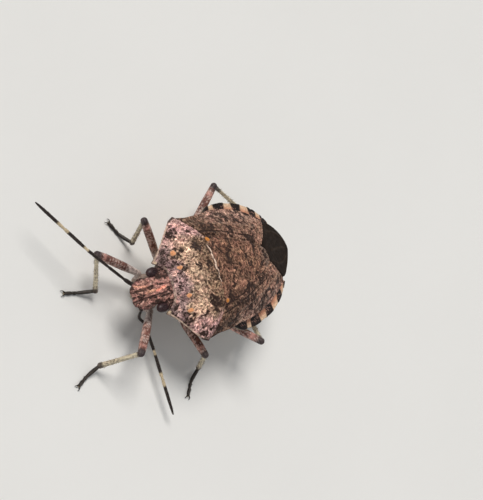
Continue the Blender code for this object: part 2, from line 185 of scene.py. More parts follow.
abdomen_half = profile((7.0, 3.3), (7.5, 3.75), (8.3, 4.12), (9.2, 4.12), (10.3, 3.92),
                       (11.2, 3.66), (12.1, 3.2), (12.9, 2.58), (13.4, 2.03), (13.8, 1.45),
                       (14.05, 0.95), (ABDOMEN_TIP_Y, 0.4))
ridge_z = profile((0, 1.9), (1, 2.35), (2, 2.75), (2.4, 2.95), (3.2, 3.55), (4.2, 4.15),
                  (5.3, 4.5), (6.8, 4.6), (8.5, 4.42), (SCUTELLUM_TIP_Y, 3.95),
                  (12.5, 3.3), (14.0, 2.72), (BODY_LENGTH, 2.5))
margin_z = profile((0, 1.72), (1.2, 2.05), (2.1, 2.5), (HUMERAL_Y, 3.02), (5.5, 2.9),
                   (8, 2.82), (12.7, 2.8), (BODY_LENGTH, 2.45))
back_half = profile((0, 1.0), (2.1, 1.6), (2.55, 2.15), (2.93, 2.7), (3.45, 3.42),
                    (3.85, 3.86), (HUMERAL_Y, 4.02), (7.8, 3.82), (10.7, 3.2), (12.7, 2.2),
                    (13.6, 1.7), (BODY_LENGTH, 1.2))
belly_z = profile((7.0, 0.3), (8.2, 0.02), (10.5, 0.0), (12.0, 0.35), (13.3, 1.0),
                  (ABDOMEN_TIP_Y, 1.75))
flange_z = profile((7.0, 2.5), (9.0, 2.55), (12.0, 2.5), (ABDOMEN_TIP_Y, 2.3))


def pronotum_front(x):
    return NECK_Y - 0.41 * clamp(np.abs(x) / 1.55) ** 4


def pronotum_rear(x):
    return HIND_EDGE_Y - 0.5 * np.maximum(np.abs(x) - 2.2, 0) ** 1.3


def back_z(x, y):
    across = clamp(np.abs(x) / back_half(y))
    return blend(ridge_z(y), margin_z(y), across ** 2.7)


def wing_half(y, side):
    """The wing's outer edge, drawn in a little on the left, where more of the belly shows."""
    drawn_in = np.where(np.asarray(side) > 0, 0.25, 0.0)
    return shield_half(y) - drawn_in * clamp(y - 6.5) * clamp(13 - y)


def film_half(y, side):
    return np.where(side > 0, film_left(y), film_right(y))


def hill(x, y, cx, cy, rx, ry):
    """1 at a spot's middle and 0 from its rim out."""
    d = ((x - cx) / rx) ** 2 + ((y - cy) / ry) ** 2
    return np.maximum(1 - d, 0) ** 2


def spot(x, y, cx, cy, rx, ry):
    """A spot's mask with a crisp edge."""
    d = np.sqrt(((x - cx) / rx) ** 2 + ((y - cy) / ry) ** 2)
    return fall(0.75, 1.15, d)


def wave(x, y, scale, seed=0.0):
    """Cheap smooth variation from a few crossed sines, from -1 to 1."""
    a = np.sin(x * scale + 1.7 * np.sin(y * scale * 0.8 + seed) + seed)
    b = np.sin(y * scale * 1.13 + 1.9 * np.sin(x * scale * 0.7 + 2 * seed) + 3 * seed)
    return a * b


def chance(i, j, seed):
    """A number from 0 to 1 for each cell of a grid, the same in every run."""
    raw = np.sin(i * 127.1 + j * 311.7 + seed * 74.7) * 43758.5453
    return raw - np.floor(raw)


def pit_field(x, y, spacing, seed):
    """The distance to the nearest puncture, with the punctures on an uneven grid."""
    bend = 0.4 * spacing
    px = (x + bend * np.sin(y * 7.3 + seed) + bend * np.sin(y * 2.9 + 2 * seed)) / spacing
    py = (y + bend * np.sin(x * 6.1 + 2 * seed) + bend * np.sin(x * 2.3 + seed)) / spacing
    gx, gy = np.floor(px), np.floor(py)
    nearest = np.full(np.shape(px), 9.0)
    for di in (-1, 0, 1):
        for dj in (-1, 0, 1):
            i, j = gx + di, gy + dj
            cx = i + 0.5 + 0.8 * (chance(i, j, seed) - 0.5)
            cy = j + 0.5 + 0.8 * (chance(i, j, seed + 9) - 0.5)
            nearest = np.minimum(nearest, np.hypot(px - cx, py - cy))
    return nearest * spacing


def dimples(pits, depth=0.03, reach=0.075):
    """Round hollows where the punctures are."""
    return -depth * fall(0.01, reach, pits)


def blots(x, y, places, size=1.0):
    """How far a point is inside any of a few dark blotches (x, y, rx, ry)."""
    ragged = (0.34 * wave(x, y, 7.0, 0.7) + 0.3 * wave(x, y, 15.0, 2.1)
              + 0.15 * wave(x, y, 31.0, 0.4))
    out = np.zeros(np.shape(x))
    x, y = (x + 0.09 * np.sin(8.3 * y + 2 * x) + 0.05 * np.sin(17 * y + 1),
            y + 0.08 * np.sin(7.1 * x + 3) + 0.05 * np.sin(15.7 * x - 3 * y))
    for cx, cy, rx, ry in places:
        d = np.hypot((x - cx) / (rx * size), (y - cy) / (ry * size)) + ragged
        out = np.maximum(out, fall(0.45, 1.35, d))
    return out


def piece(name, points, faces, material, layers, replaces=()):
    """One shown mesh that rides on the frame and stands for some of its nodes.

    Each layer is a colour for every point with a strength in its alpha, or plain numbers.
    """
    mesh = bpy.data.meshes.new(name)
    mesh.from_pydata(world(points).tolist(), [], faces)
    work = bmesh.new()
    work.from_mesh(mesh)
    bmesh.ops.recalc_face_normals(work, faces=work.faces)
    work.to_mesh(mesh)
    work.free()
    for title, (colour, strength) in layers.items():
        if colour is None:
            mesh.attributes.new(title, "FLOAT", "POINT")
            mesh.attributes[title].data.foreach_set("value", np.asarray(strength, np.float32))
            continue
        values = np.ones((len(mesh.vertices), 4), np.float32)
        values[:, :3] = colour
        values[:, 3] = strength
        mesh.color_attributes.new(title, "FLOAT_COLOR", "POINT")
        mesh.color_attributes[title].data.foreach_set("color", values.ravel())
    mesh.shade_smooth()
    mesh.materials.append(material)
    shown = put(name, mesh)
    if replaces:
        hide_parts(*replaces)
    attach(shown, "root")


def joined(name, forms, material, speckle=0.0, has_node=True):
    """One piece made of several forms, each its points, faces and colours."""
    faces, start = [], 0
    for form in forms:
        faces += [tuple(i + start for i in face) for face in form[1]]
        start += len(form[0])
    points = np.concatenate([form[0] for form in forms])
    tint = np.concatenate([form[2] for form in forms])
    piece(name, points, faces, material,
          {"ground": (tint, speckle), "marks": (tint, 0.0)}, (name,) if has_node else ())


def leather(ground, blotch, pits, marks, strength, under):
    """The layers of a pitted plate, plain on its underside."""
    return {"ground": (ground, blotch * (1 - under)), "pits": (None, pits),
            "marks": (marks, strength * (1 - under))}


def paint(mask_and_colours, base):
    """Lay colours over a base colour, each where its mask is 1."""
    out = np.tile(np.array(base, float), (len(mask_and_colours[0][0]), 1))
    for mask, colour in mask_and_colours:
        out = dye(out, colour, clamp(mask))
    return out


def shell(name, plan, top, bottom, look, material, columns, rows,
          tuck=lambda u, v: (u, v), rim=0.03):
    """A closed plate with a rounded rim. look(x, y, under) gives its colour layers."""
    u, v = (a.ravel() for a in np.meshgrid(np.linspace(-1, 1, columns + 1),
                                           np.linspace(0, 1, rows + 1)))
    x, y = plan(u, v)
    upper = np.stack([x, y, top(x, y)], 1)
    x, y = plan(*tuck(u, v))
    lower = np.stack([x, y, bottom(x, y)], 1)
    count = len(upper)
    grid = np.arange(count).reshape(rows + 1, columns + 1)
    edge = np.concatenate([grid[0], grid[1:, -1], grid[-1, -2::-1], grid[-2:0:-1, 0]])
    run = np.roll(upper[edge], -1, 0) - np.roll(upper[edge], 1, 0)
    away = np.stack([run[:, 1], -run[:, 0], 0 * run[:, 0]], 1)
    away /= np.linalg.norm(away, axis=1)[:, None] + 1e-9
    if (away * (upper[edge] - upper.mean(0))).sum() < 0:
        away = -away
    rings = [blend(upper[edge], lower[edge], f) + away * rim * sin(pi * f) for f in RIM_STEPS]
    points = np.concatenate([upper, lower, *rings])
    a, b, c, d = grid[:-1, :-1], grid[:-1, 1:], grid[1:, 1:], grid[1:, :-1]
    quads = np.stack([a, b, c, d, a + count, d + count, c + count, b + count], 2)
    faces = quads.reshape(-1, 4).tolist()
    n = len(edge)
    chain = [edge, *(2 * count + n * k + np.arange(n) for k in range(len(rings))), edge + count]
    for above, below in zip(chain, chain[1:]):
        faces += np.stack([above, np.roll(above, -1), np.roll(below, -1), below], 1).tolist()
    under = np.zeros(len(points))
    under[count:2 * count] = 1
    under[2 * count + n * 2:] = 1
    piece(name, points, faces, material, look(points[:, 0], points[:, 1], under), (name,))


def route(points, count):
    """Places on a smooth curve through a few points."""
    knots = [np.array(p, float) for p in points]
    knots = [2 * knots[0] - knots[1]] + knots + [2 * knots[-1] - knots[-2]]
    spans = len(points) - 1
    out = []
    for step in range(count + 1):
        place = min(step / count * spans, spans - 1e-9)
        i = int(place)
        t = place - i
        a, b, c, d = knots[i:i + 4]
        out.append(0.5 * (2 * b + (c - a) * t + (2 * a - 5 * b + 4 * c - d) * t * t
                          + (3 * b - a - 3 * c + d) * t ** 3))
    return np.array(out)


def tube_faces(rings, sides):
    """The faces of a closed tube, with its two end caps."""
    faces = []
    for k in range(rings - 1):
        for s in range(sides):
            a, b = k * sides + s, k * sides + (s + 1) % sides
            faces.append((a, b, b + sides, a + sides))
    last = (rings - 1) * sides
    return faces + [tuple(range(sides))[::-1], tuple(range(last, last + sides))]


class Limb:
    """A dense tube along a route, with radius(t) and a cross-section ridge(t, angle)."""

    def __init__(self, points, radius, rings, sides, ridge=lambda t, a: 0 * a, floor=None):
        base = route(points, rings)
        along = np.gradient(base, axis=0)
        along /= np.linalg.norm(along, axis=1)[:, None]
        side = np.cross([0, 0, 1], along[0])
        across = []
        for a in along:
            side = unit(side - a * side.dot(a))
            across.append(side)
        across = np.array(across)
        lift = np.cross(along, across)
        t = np.linspace(0, 1, rings + 1)
        size = radius(t)
        caps = np.linspace(0.97 * pi / 2, 0, 5)[:-1]
        stations = [(base[0] - along[0] * size[0] * sin(a) * TUBE_END, size[0] * cos(a), 0, 0.0)
                    for a in caps]
        stations += [(base[k], size[k], k, t[k]) for k in range(rings + 1)]
        stations += [(base[-1] + along[-1] * size[-1] * sin(a) * TUBE_END, size[-1] * cos(a),
                      rings, 1.0) for a in caps[::-1]]
        angle = 2 * pi * np.arange(sides) / sides
        cosine, sine = np.cos(angle)[:, None], np.sin(angle)[:, None]
        places = []
        for centre, r, k, share in stations:
            swell = (r * (1 + ridge(share, angle)))[:, None]
            ring = centre + swell * (cosine * across[k] + sine * lift[k])
            if floor is not None:
                ring[:, 2] = np.maximum(ring[:, 2], floor)
            places.append(ring)
        self.length = float(np.linalg.norm(np.diff(base, axis=0), axis=1).sum())
        self.centres, self.along, self.side, self.lift, self.size = base, along, across, lift, size
        self.points = np.concatenate(places)
        self.t = np.repeat([station[3] for station in stations], sides)
        self.angle = np.tile(angle, len(stations))
        self.faces = tube_faces(len(stations), sides)

    def tinted(self, colour):
        """The tube as a form, with one colour or one for each point."""
        return self.points, self.faces, np.broadcast_to(colour, self.points.shape)


def bristles(limb, colour, seed, count, length, lean=0.6):
    """Short stiff hairs set on a limb, leaning to its tip."""
    rng = np.random.default_rng(seed)
    forms = []
    rings = len(limb.centres) - 1
    for _ in range(count):
        k = int(blend(*HAIR_SPAN, rng.random()) * rings)
        turn = rng.random() * 2 * pi
        out = cos(turn) * limb.side[k] + sin(turn) * limb.lift[k]
        root = limb.centres[k] + out * limb.size[k] * 0.9
        aim = unit(out * (1 - lean) + limb.along[k] * lean)
        tip = root + aim * (length * blend(0.6, 1.1, rng.random()))
        if tip[2] < FLOOR_Z + 0.01:
            continue
        across = np.cross(aim, limb.along[k] + 0.3 * out)
        across = across / (np.linalg.norm(across) + 1e-9)
        other = np.cross(aim, across)
        base = [root + HAIR_WIDTH * (cos(a) * across + sin(a) * other) for a in (0, 2.1, 4.2)]
        forms.append((np.array(base + [tip]), [(0, 1, 3), (1, 2, 3), (2, 0, 3), (2, 1, 0)],
                      np.tile(colour, (4, 1))))
    return forms


class Nodes:
    """A short way to write a material's node graph."""

    def __init__(self, name, roughness, specular, coat=0.0):
        self.material = bpy.data.materials.new(name)
        self.material.use_nodes = True
        self.tree = self.material.node_tree
        self.shader = self.tree.nodes["Principled BSDF"]
        self.fill(self.shader, {"Roughness": roughness, "Specular IOR Level": specular,
                                "Coat Weight": coat, "Coat Roughness": 0.25})
        coords = self.add("ShaderNodeTexCoord").outputs["Object"]
        self.place = self.add("ShaderNodeVectorMath", {0: coords, "Scale": 1 / MM},
                              operation="SCALE").outputs[0]

    def add(self, kind, inputs=(), **settings):
        node = self.tree.nodes.new(kind)
        for key, value in settings.items():
            setattr(node, key, value)
        self.fill(node, dict(inputs))
        return node

    def fill(self, node, inputs):
        """Give each input its value or its link."""
        for key, value in inputs.items():
            socket = node.inputs[key]
            if isinstance(value, (int, float)):
                socket.default_value = value
            elif isinstance(value, tuple):
                socket.default_value = (*value, 1)
            else:
                self.tree.links.new(value, socket)

    def noise(self, scale, detail=3.0, rough=0.55, warp=0.0):
        return self.add("ShaderNodeTexNoise", {
            "Vector": self.place, "Scale": scale, "Detail": detail, "Roughness": rough,
            "Distortion": warp}).outputs["Fac"]

    def cells(self, scale, randomness):
        return self.add("ShaderNodeTexVoronoi", {
            "Vector": self.place, "Scale": scale, "Randomness": randomness}).outputs["Distance"]

    def math(self, operation, a, b=0.0):
        return self.add("ShaderNodeMath", {0: a, 1: b}, operation=operation).outputs[0]

    def times(self, product, *factors):
        for factor in factors:
            product = self.math("MULTIPLY", product, factor)
        return product

    def remap(self, value, low, high, out_low=0.0, out_high=1.0):
        return self.add("ShaderNodeMapRange", {
            "Value": value, "From Min": low, "From Max": high, "To Min": out_low,
            "To Max": out_high}, interpolation_type="SMOOTHSTEP").outputs["Result"]

    def grey(self, value):
        return self.add("ShaderNodeCombineColor", {0: value, 1: value, 2: value}).outputs[0]

    def mix(self, factor, a, b, mode="MIX"):
        return self.add("ShaderNodeMix", {0: factor, 6: a, 7: b}, data_type="RGBA",
                        blend_type=mode).outputs[2]

    def tint(self, a, b):
        return self.mix(1.0, a, b, "MULTIPLY")

    def layer(self, name):
        node = self.add("ShaderNodeAttribute", attribute_name=name)
        return node.outputs["Color"], node.outputs["Alpha"]

    def bump(self, height, distance):
        node = self.add("ShaderNodeBump", {"Height": height, "Distance": distance * MM,
                                           "Strength": 1.0})
        self.fill(self.shader, {"Normal": node.outputs["Normal"]})

    def finish(self, colour, roughness=None):
        self.fill(self.shader, {"Base Color": colour})
        if roughness is not None:
            self.fill(self.shader, {"Roughness": roughness})
        return self.material


def cuticle(name, soft_pit=(0.5, 0.45, 0.43), gloss=0.5):
    """Pitted wing and shield leather.

    The ground layer gives the pale colour between the pits and, in its alpha, how far they
    run together into dark blotches. The pits layer is the distance to the nearest one. The
    marks layer lays smooth spots and lines over them.
    """
    n = Nodes(name, gloss, 0.2)
    ground, blotchy = n.layer("ground")
    marks, marked = n.layer("marks")
    distance = n.add("ShaderNodeAttribute", attribute_name="pits").outputs["Fac"]
    patches = n.times(n.math("SUBTRACT", n.noise(1.15, 6.0, 0.66, 0.9), 0.5), 2.8)
    level = n.remap(n.math("ADD", patches, blotchy), 0.2, 0.85)
    reach = n.math("ADD", n.times(level, 0.085), 0.045)
    ragged = n.times(n.math("SUBTRACT", n.noise(9.0, 4.0, 0.65), 0.5), 0.32)
    edge = n.math("SUBTRACT", n.math("ADD", distance, ragged), reach)
    pit = n.times(n.remap(edge, -0.035, 0.035, 1.0, 0.0), n.math("SUBTRACT", 1.0, marked))
    drift = n.remap(n.noise(1.3, 3.0, 0.6, 0.6), 0.4, 0.6, 0.74, 1.26)
    streak = n.remap(n.noise(3.0, 5.0, 0.68, 1.8), 0.4, 0.6, 0.62, 1.38)
    grain = n.remap(n.noise(22.0), 0.4, 0.6, 0.8, 1.22)
    isolines = n.math("ABSOLUTE", n.math("SUBTRACT", n.noise(4.4, 2.0, 0.5, 1.4), 0.5))
    worm = n.remap(isolines, 0.012, 0.07, 1.42, 0.66)
    # The last factor below lightens the ground midway between punctures: a painted highlight on the
    # ridges between them.
    tone = n.times(streak, grain, drift, worm, n.remap(level, 0.0, 1.0, 1.08, 0.5),
                   n.remap(distance, 0.05, 0.13, 0.9, 1.18))
    cast = n.mix(n.remap(n.noise(2.6, 3.0, 0.6, 0.9), 0.42, 0.58), (1.04, 0.98, 0.98),
                 (0.96, 1.01, 0.96))
    lit = n.tint(n.tint(ground, cast), n.grey(tone))
    colour = n.mix(pit, lit, n.mix(level, n.tint(lit, soft_pit), PITCH))
    worn = n.tint(marks, n.grey(n.remap(n.noise(9.0), 0.3, 0.7, 0.75, 1.12)))
    colour = n.mix(marked, colour, worn)
    n.bump(n.math("SUBTRACT", n.times(n.noise(8.0, 4.0, 0.6), 1.2), pit), PIT_DEPTH)
    return n.finish(colour, n.remap(n.noise(9.0), 0.3, 0.7, gloss - 0.08, gloss + 0.14))


def smooth_cuticle(name, gloss):
    """Limbs, feelers and the like: layer colours with fine grain and speckles."""
    n = Nodes(name, gloss, 0.25)
    ground, speckle = n.layer("ground")
    marks, marked = n.layer("marks")
    specks = n.remap(n.cells(9.0, 1.0), 0.22, 0.4, 1.0, 0.0)
    speck = n.times(specks, speckle, n.remap(n.noise(3.0, 3.0, 0.6, 0.8), 0.4, 0.58))
    grain = n.remap(n.noise(16.0), 0.3, 0.7, 0.75, 1.2)
    veil = n.remap(n.noise(4.0, 3.0, 0.6, 1.0), 0.35, 0.65, 0.8, 1.15)
    tone = n.grey(n.times(grain, veil))
    colour = n.mix(speck, n.tint(ground, tone), PITCH)
    colour = n.mix(marked, colour, n.tint(marks, tone))
    n.bump(n.math("SUBTRACT", n.noise(9.6), n.times(speck, 0.6)), 0.012)
    return n.finish(colour, n.remap(n.noise(8.0), 0.3, 0.7, gloss - 0.07, gloss + 0.14))


def membrane_material():
    """Thin dark wing skin with a faint satin sheen."""
    n = Nodes("membrane", 0.58, 0.04)
    ground, _ = n.layer("ground")
    film = n.remap(n.noise(2.2, 3.0, 0.6, 0.4), 0.35, 0.7, 0.75, 1.3)
    fine = n.remap(n.noise(18.0), 0.3, 0.7, 0.85, 1.15)
    n.bump(n.noise(14.0, 4.0), 0.008)
    return n.finish(n.tint(ground, n.grey(n.times(film, fine))),
                    n.remap(n.noise(5.0), 0.3, 0.7, 0.5, 0.65))


def eye_material():
    """Faceted dark eye with a soft gloss."""
    n = Nodes("eye", 0.36, 0.25, 0.08)
    ground, _ = n.layer("ground")
    facets = n.cells(30.0, 0.15)
    colour = n.mix(n.remap(facets, 0.15, 0.55), ground, (0.015, 0.008, 0.01))
    n.bump(n.math("SUBTRACT", 1.0, facets), 0.005)
    return n.finish(n.tint(colour, n.grey(n.remap(n.noise(5.0), 0.3, 0.7, 0.7, 1.3))))


def head_axis(y):
    """The head's own middle line, turned a little to the left at its tip."""
    return HEAD_TURN * (1 - y / NECK_Y)


HEAD_DABS = ((-0.45, 1.5, 0.1, 0.09), (-0.52, 2.1, 0.11, 0.1), (-0.8, 1.6, 0.12, 0.2),
             (0.63, 0.7, 0.16, 0.08), (0.35, 0.35, 0.14, 0.1), (0.72, 1.2, 0.1, 0.14),
             (0.5, 2.15, 0.1, 0.12), (-0.7, 1.05, 0.1, 0.12), (-1.02, 2.3, 0.08, 0.07),
             (-1.2, 2.28, 0.07, 0.06), (1.1, 2.3, 0.08, 0.06))
# Dark blotches on the head. The two at x -0.95 and 0.95, y 2.3 darken the head behind the eyes:
# partly its dark ground, partly a painted shadow between eye and pronotum.
HEAD_BLOTS_AND_EYE_SHADE = ((0.4, 2.2, 0.35, 0.3), (0.75, 1.85, 0.2, 0.3), (-0.2, 1.4, 0.14, 0.2),
              (-0.75, 2.15, 0.25, 0.25), (-0.95, 2.3, 0.22, 0.2), (0.95, 2.3, 0.16, 0.2))


def build_head(material):
    def plan(u, v):
        y = blend(HEAD_TIP_Y, NECK_Y + 0.75, v ** 1.3)
        return u * head_half(y) + head_axis(y), y

    def parts(x, y):
        off = x - head_axis(y)
        return off, np.abs(off), clamp(np.abs(off) / head_half(y))

    def top(x, y):
        off, side, across = parts(x, y)
        inward = smooth(HEAD_TIP_Y, 0.6, y)
        tylus = 0.11 * clamp(1 - (off / 0.26) ** 2) * fall(0.9, 1.5, y)
        groove = 0.1 * bell(side - 0.3, 0.05) * fall(1.5, 2.0, y)
        vertex = 0.06 * hill(off, y, 0, 2.0, 0.6, 0.6)
        brow = 0.07 * hill(side, y, 0.75, 1.75, 0.3, 0.5)
        base = blend(ridge_z(y), margin_z(y), across ** 2.5)
        lip = 0.05 * smooth(0.86, 0.97, across) * fall(1.1, 1.4, y)
        knob = 0.05 * hill(side, y, 0.48, 2.12, 0.1, 0.1)
        wrinkle = 0.02 * np.sin(14 * y + 5 * side + wave(x, y, 5, 1)) * smooth(0.3, 0.5, side)
        hollows = dimples(pit_field(x, y, *HEAD_PITS), 0.03, 0.06)
        neck = -0.5 * smooth(0.03, 0.25, y - pronotum_front(x))
        raised = (tylus - groove) * inward + vertex + brow + lip + knob
        return base + raised + wrinkle + hollows + neck

    def bottom(x, y):
        _, _, across = parts(x, y)
        keel = blend(1.5, 1.18, clamp(y / 1.5))
        buccula = -0.08 * hill(np.abs(x), y, 0.24, 1.3, 0.1, 0.9)
        return blend(keel, margin_z(y) - 0.3, across ** 2) + buccula

    def look(x, y, under):
        off, _, across = parts(x, y)
        streak = bell(off + 0.02 + 0.03 * np.sin(6 * y), 0.075)
        streak = streak * smooth(0.75, 1.0, y) * fall(2.2, 2.35, y)
        coral = bell(off - 0.05 * np.sin(5 * y), 0.06)
        coral = coral * smooth(1.55, 1.75, y) * fall(2.12, 2.25, y)
        stripes = smooth(0.1, 0.8, np.sin(19 * off * (1.15 - 0.12 * y) + 1.5 * wave(x, y, 2.2, 4)))
        arc = bell(off + 0.5 + 0.12 * np.sin(4 * y), 0.07)
        arc = arc * smooth(0.4, 0.6, y) * fall(1.1, 1.3, y)
        tan = spot(off, y, -0.25, 0.75, 0.2, 0.28)
        dabs = blots(x, y, HEAD_DABS, 0.9)
        seam = bell(off - 0.3, 0.06) * fall(2.2, 2.4, y)
        faint = 0.6 * bell(off + 0.29, 0.035) * fall(1.2, 1.7, y)
        # patch: the dark blotches, with the painted shadow behind the eyes.
        patch = blots(x, y, HEAD_BLOTS_AND_EYE_SHADE)
        rim = smooth(0.72, 0.95, across)
        ground = paint([(dabs, (0.5, 0.29, 0.25)), (tan, (0.38, 0.2, 0.16)), (arc, SALMON),
                        (streak, SALMON), (coral, (0.85, 0.27, 0.2)), (rim * 0.8, PLUM),
                        (under, (0.17, 0.1, 0.08))], (0.36, 0.18, 0.15))
        blotch = clamp(0.25 + 0.6 * patch + 0.45 * stripes + 0.25 * wave(x, y, 6, 1)
                       - streak - arc - 0.6 * dabs - 0.5 * coral)
        pits = pit_field(x, y, *HEAD_PITS) + 0.05
        dark = (0.03, 0.015, 0.015)
        return leather(ground, blotch, pits, dark, clamp(seam + faint) * 0.9, under)

    shell("head", plan, top, bottom, look, material, columns=120, rows=140,
          tuck=lambda u, v: (0.74 * u, blend(0.22, 1, v)), rim=0.02)


def build_eye(name, side, material):
    """A long ball set into the cheek."""
    centre = np.array([1.17, 1.95, 2.38] if side > 0 else [1.08, 1.92, 2.38])
    wide, long, high = 0.31, 0.49, 0.25
    inner_end, outer_end = -1.25, pi / 2 - 0.02
    rows, sides = 26, 40
    points = []
    for k in range(rows + 1):
        a = blend(inner_end, outer_end, k / rows)
        for s in range(sides):
            turn = 2 * pi * s / sides
            points.append((side * (centre[0] + wide * sin(a)),
                           centre[1] + long * cos(a) * cos(turn),
                           centre[2] + high * cos(a) * sin(turn)))
    points = np.array(points)
    # Painted sheen: the eye's top is tinted lighter and bluer than its lower part.
    top_sheen = smooth(2.15, 2.6, points[:, 2])
    ground = dye((0.13, 0.04, 0.036), (0.12, 0.062, 0.066), top_sheen)
    piece(name, points, tube_faces(rows + 1, sides), material, {"ground": (ground, 0.0)},
          (name,))


CALLI = ((-1.83, 3.16, 0.2, 0.14), (-0.88, 3.2, 0.13, 0.17), (0.94, 3.26, 0.15, 0.15),
         (1.84, 3.2, 0.14, 0.17))
SHIELD_BLOTS = ((-3.03, 3.6, 0.32, 0.3), (-0.51, 4.25, 0.28, 0.22), (-0.58, 4.8, 0.18, 0.14),
                (-1.84, 3.6, 0.2, 0.14), (-0.52, 3.1, 0.14, 0.12), (-1.6, 2.45, 0.22, 0.22),
                (1.62, 2.55, 0.3, 0.22), (2.06, 2.95, 0.3, 0.2), (2.4, 3.25, 0.22, 0.16),
                (3.02, 3.75, 0.2, 0.18), (3.55, 3.9, 0.26, 0.22), (2.29, 4.05, 0.28, 0.16),
                (1.77, 4.7, 0.4, 0.3), (-1.79, 4.4, 0.25, 0.2), (0.3, 2.9, 0.2, 0.12),
                (-2.2, 2.9, 0.2, 0.14), (3.3, 4.5, 0.2, 0.14), (-2.9, 4.6, 0.18, 0.12))
SHIELD_DABS = ((-0.69, 2.85, 0.14, 0.12), (0.77, 2.85, 0.1, 0.18), (1.03, 2.55, 0.14, 0.12),
               (1.62, 2.76, 0.18, 0.12), (-2.5, 3.72, 0.3, 0.2), (2.75, 3.6, 0.25, 0.2),
               (-3.3, 4.1, 0.24, 0.22), (2.8, 4.3, 0.24, 0.2), (3.2, 4.1, 0.16, 0.16))


def build_pronotum(material):
    def plan(u, v):
        y_side = blend(CORNER_Y, HUMERAL_Y, v)
        edge = shield_half(y_side)
        x = u * edge
        y = blend(pronotum_front(x), pronotum_rear(x) + 0.04, v)
        slack = y_side - blend(pronotum_front(edge), pronotum_rear(edge), v)
        return x, y + slack * np.abs(u) ** 4

    def top(x, y):
        ax = np.abs(x)
        swell = sum(0.07 * hill(x, y, cx, cy, 1.7 * rx, 1.7 * ry) for cx, cy, rx, ry in CALLI)
        edge = ax / shield_half(y)
        rim = 0.06 * smooth(0.93, 0.985, edge) * fall(4.0, 4.4, y)
        back = y - pronotum_front(x)
        collar = 0.05 * bell(back - 0.06, 0.05) * fall(1.2, 1.4, ax)
        collar = collar - 0.07 * bell(back - 0.2, 0.07) * fall(1.3, 1.6, ax)
        bowl = -0.05 * hill(ax, y, 1.35, 3.05, 0.8, 0.45)
        curls = 0.016 * np.sin(17 * y + 4 * np.sin(3.1 * x) + 2 * wave(x, y, 4.3, 0.8))
        curls = curls * smooth(0.25, 0.6, back)
        waves = 0.022 * wave(x, y, 6.0, 0.3) * (1 - edge ** 4)
        line = 0.025 * bell(x, 0.1) * smooth(2.8, 3.4, y)
        hind = -0.05 * smooth(-0.1, 0.04, y - pronotum_rear(x))
        hollows = dimples(pit_field(x, y, *SHIELD_PITS)) * smooth(0.2, 0.4, back)
        return back_z(x, y) + swell + rim + collar + bowl + curls + waves + line + hind + hollows

    def bottom(x, y):
        return back_z(x, y) - PLATE_DEPTH - 0.05 * clamp(np.abs(x) / shield_half(y)) ** 6

    # A painted highlight: a pale zigzag line just before the pronotum's hind edge, where light
    # catches it.
    def hind_edge_highlight(x, y):
        zig = 0.028 * np.sign(np.sin(9 * x + 1)) + 5.29 + 0.05 * (x + 1.78)
        thick = 0.05 + 0.03 * hill(x, 0 * x, -0.3, 0, 0.6, 1) + 0.012 * np.sin(17 * x)
        line = fall(0.7, 1.2, np.abs(y - zig) / thick)
        return line * smooth(-1.85, -1.6, x) * fall(1.0, 1.15, x)

    def look(x, y, under):
        ax = np.abs(x)
        edge = ax / shield_half(y)
        back = y - pronotum_front(x)
        shoulder = smooth(2.0, 2.9, ax + 0.3 * wave(x, y, 2.2, 0.4))
        front = fall(0.7, 1.1, back + 0.15 * wave(x, y, 3.0, 2.2))
        olive = smooth(3.9, 4.9, y + 0.3 * wave(x, y, 2.4, 1.2)) * (1 - shoulder)
        dabs = blots(x, y, SHIELD_DABS)
        ground = paint([(shoulder, (0.64, 0.38, 0.36)), (front, (0.44, 0.28, 0.27)),
                        (olive, (0.27, 0.165, 0.11)), (0.8 * dabs, (0.74, 0.42, 0.36)),
                        (under, (0.16, 0.095, 0.075))], (0.64, 0.42, 0.305))
        dark = blots(x, y, SHIELD_BLOTS)
        ring = sum(spot(x, y, cx + 0.05, cy + 0.12, 2.1 * rx, 1.9 * ry) for cx, cy, rx, ry in CALLI)
        blotch = 0.14 + 0.75 * dark + 0.35 * front * (1 - dabs) + 0.3 * clamp(ring) - 0.2 * dabs
        side_dark = smooth(0.86, 0.93, edge) * fall(3.0, 3.5, y) * (x > 0)
        blotch = blotch + 0.5 * side_dark + 0.25 * olive
        worn = 0.75 + 0.25 * wave(x, y, 13, 1.0)
        margin = smooth(0.94, 0.96, edge) * fall(3.5, 3.8, y) * worn
        tip = spot(ax, y, 1.58, 2.2, 0.09, 0.1)
        tail = smooth(0.95, 0.97, edge) * smooth(3.55, 3.8, y)
        # line: the painted highlight along the pronotum's hind edge, laid on with the palest of the
        # marks below.
        line = hind_edge_highlight(x, y)
        ragged = 0.04 * wave(x, y, 6, 0.3)
        collar = bell(back - 0.07 + ragged, 0.05) * fall(1.15, 1.3, ax)
        wart = sum(spot(x + 0.03 * wave(x, y, 14, 1), y, *callus) for callus in CALLI)
        marks = paint([(collar, (0.55, 0.41, 0.29)), (wart, WARM_ORANGE), (tail, BLACK),
                       (tip, (0.66, 0.5, 0.34)), (line, (0.92, 0.68, 0.54))], (0.74, 0.55, 0.42))
        pale = clamp(0.85 * margin + 0.7 * collar * clamp(0.6 + 0.6 * wave(x, y, 11, 2.0)))
        strength = clamp(np.maximum.reduce([pale, wart, 0.85 * tail, tip, line]))
        pits = pit_field(x, y, *SHIELD_PITS) + 0.05 * front
        return leather(ground, clamp(blotch), pits, marks, strength, under)

    shell("pronotum", plan, top, bottom, look, material, columns=290, rows=130,
          tuck=lambda u, v: (0.93 * u, blend(0.06, 1, v)))


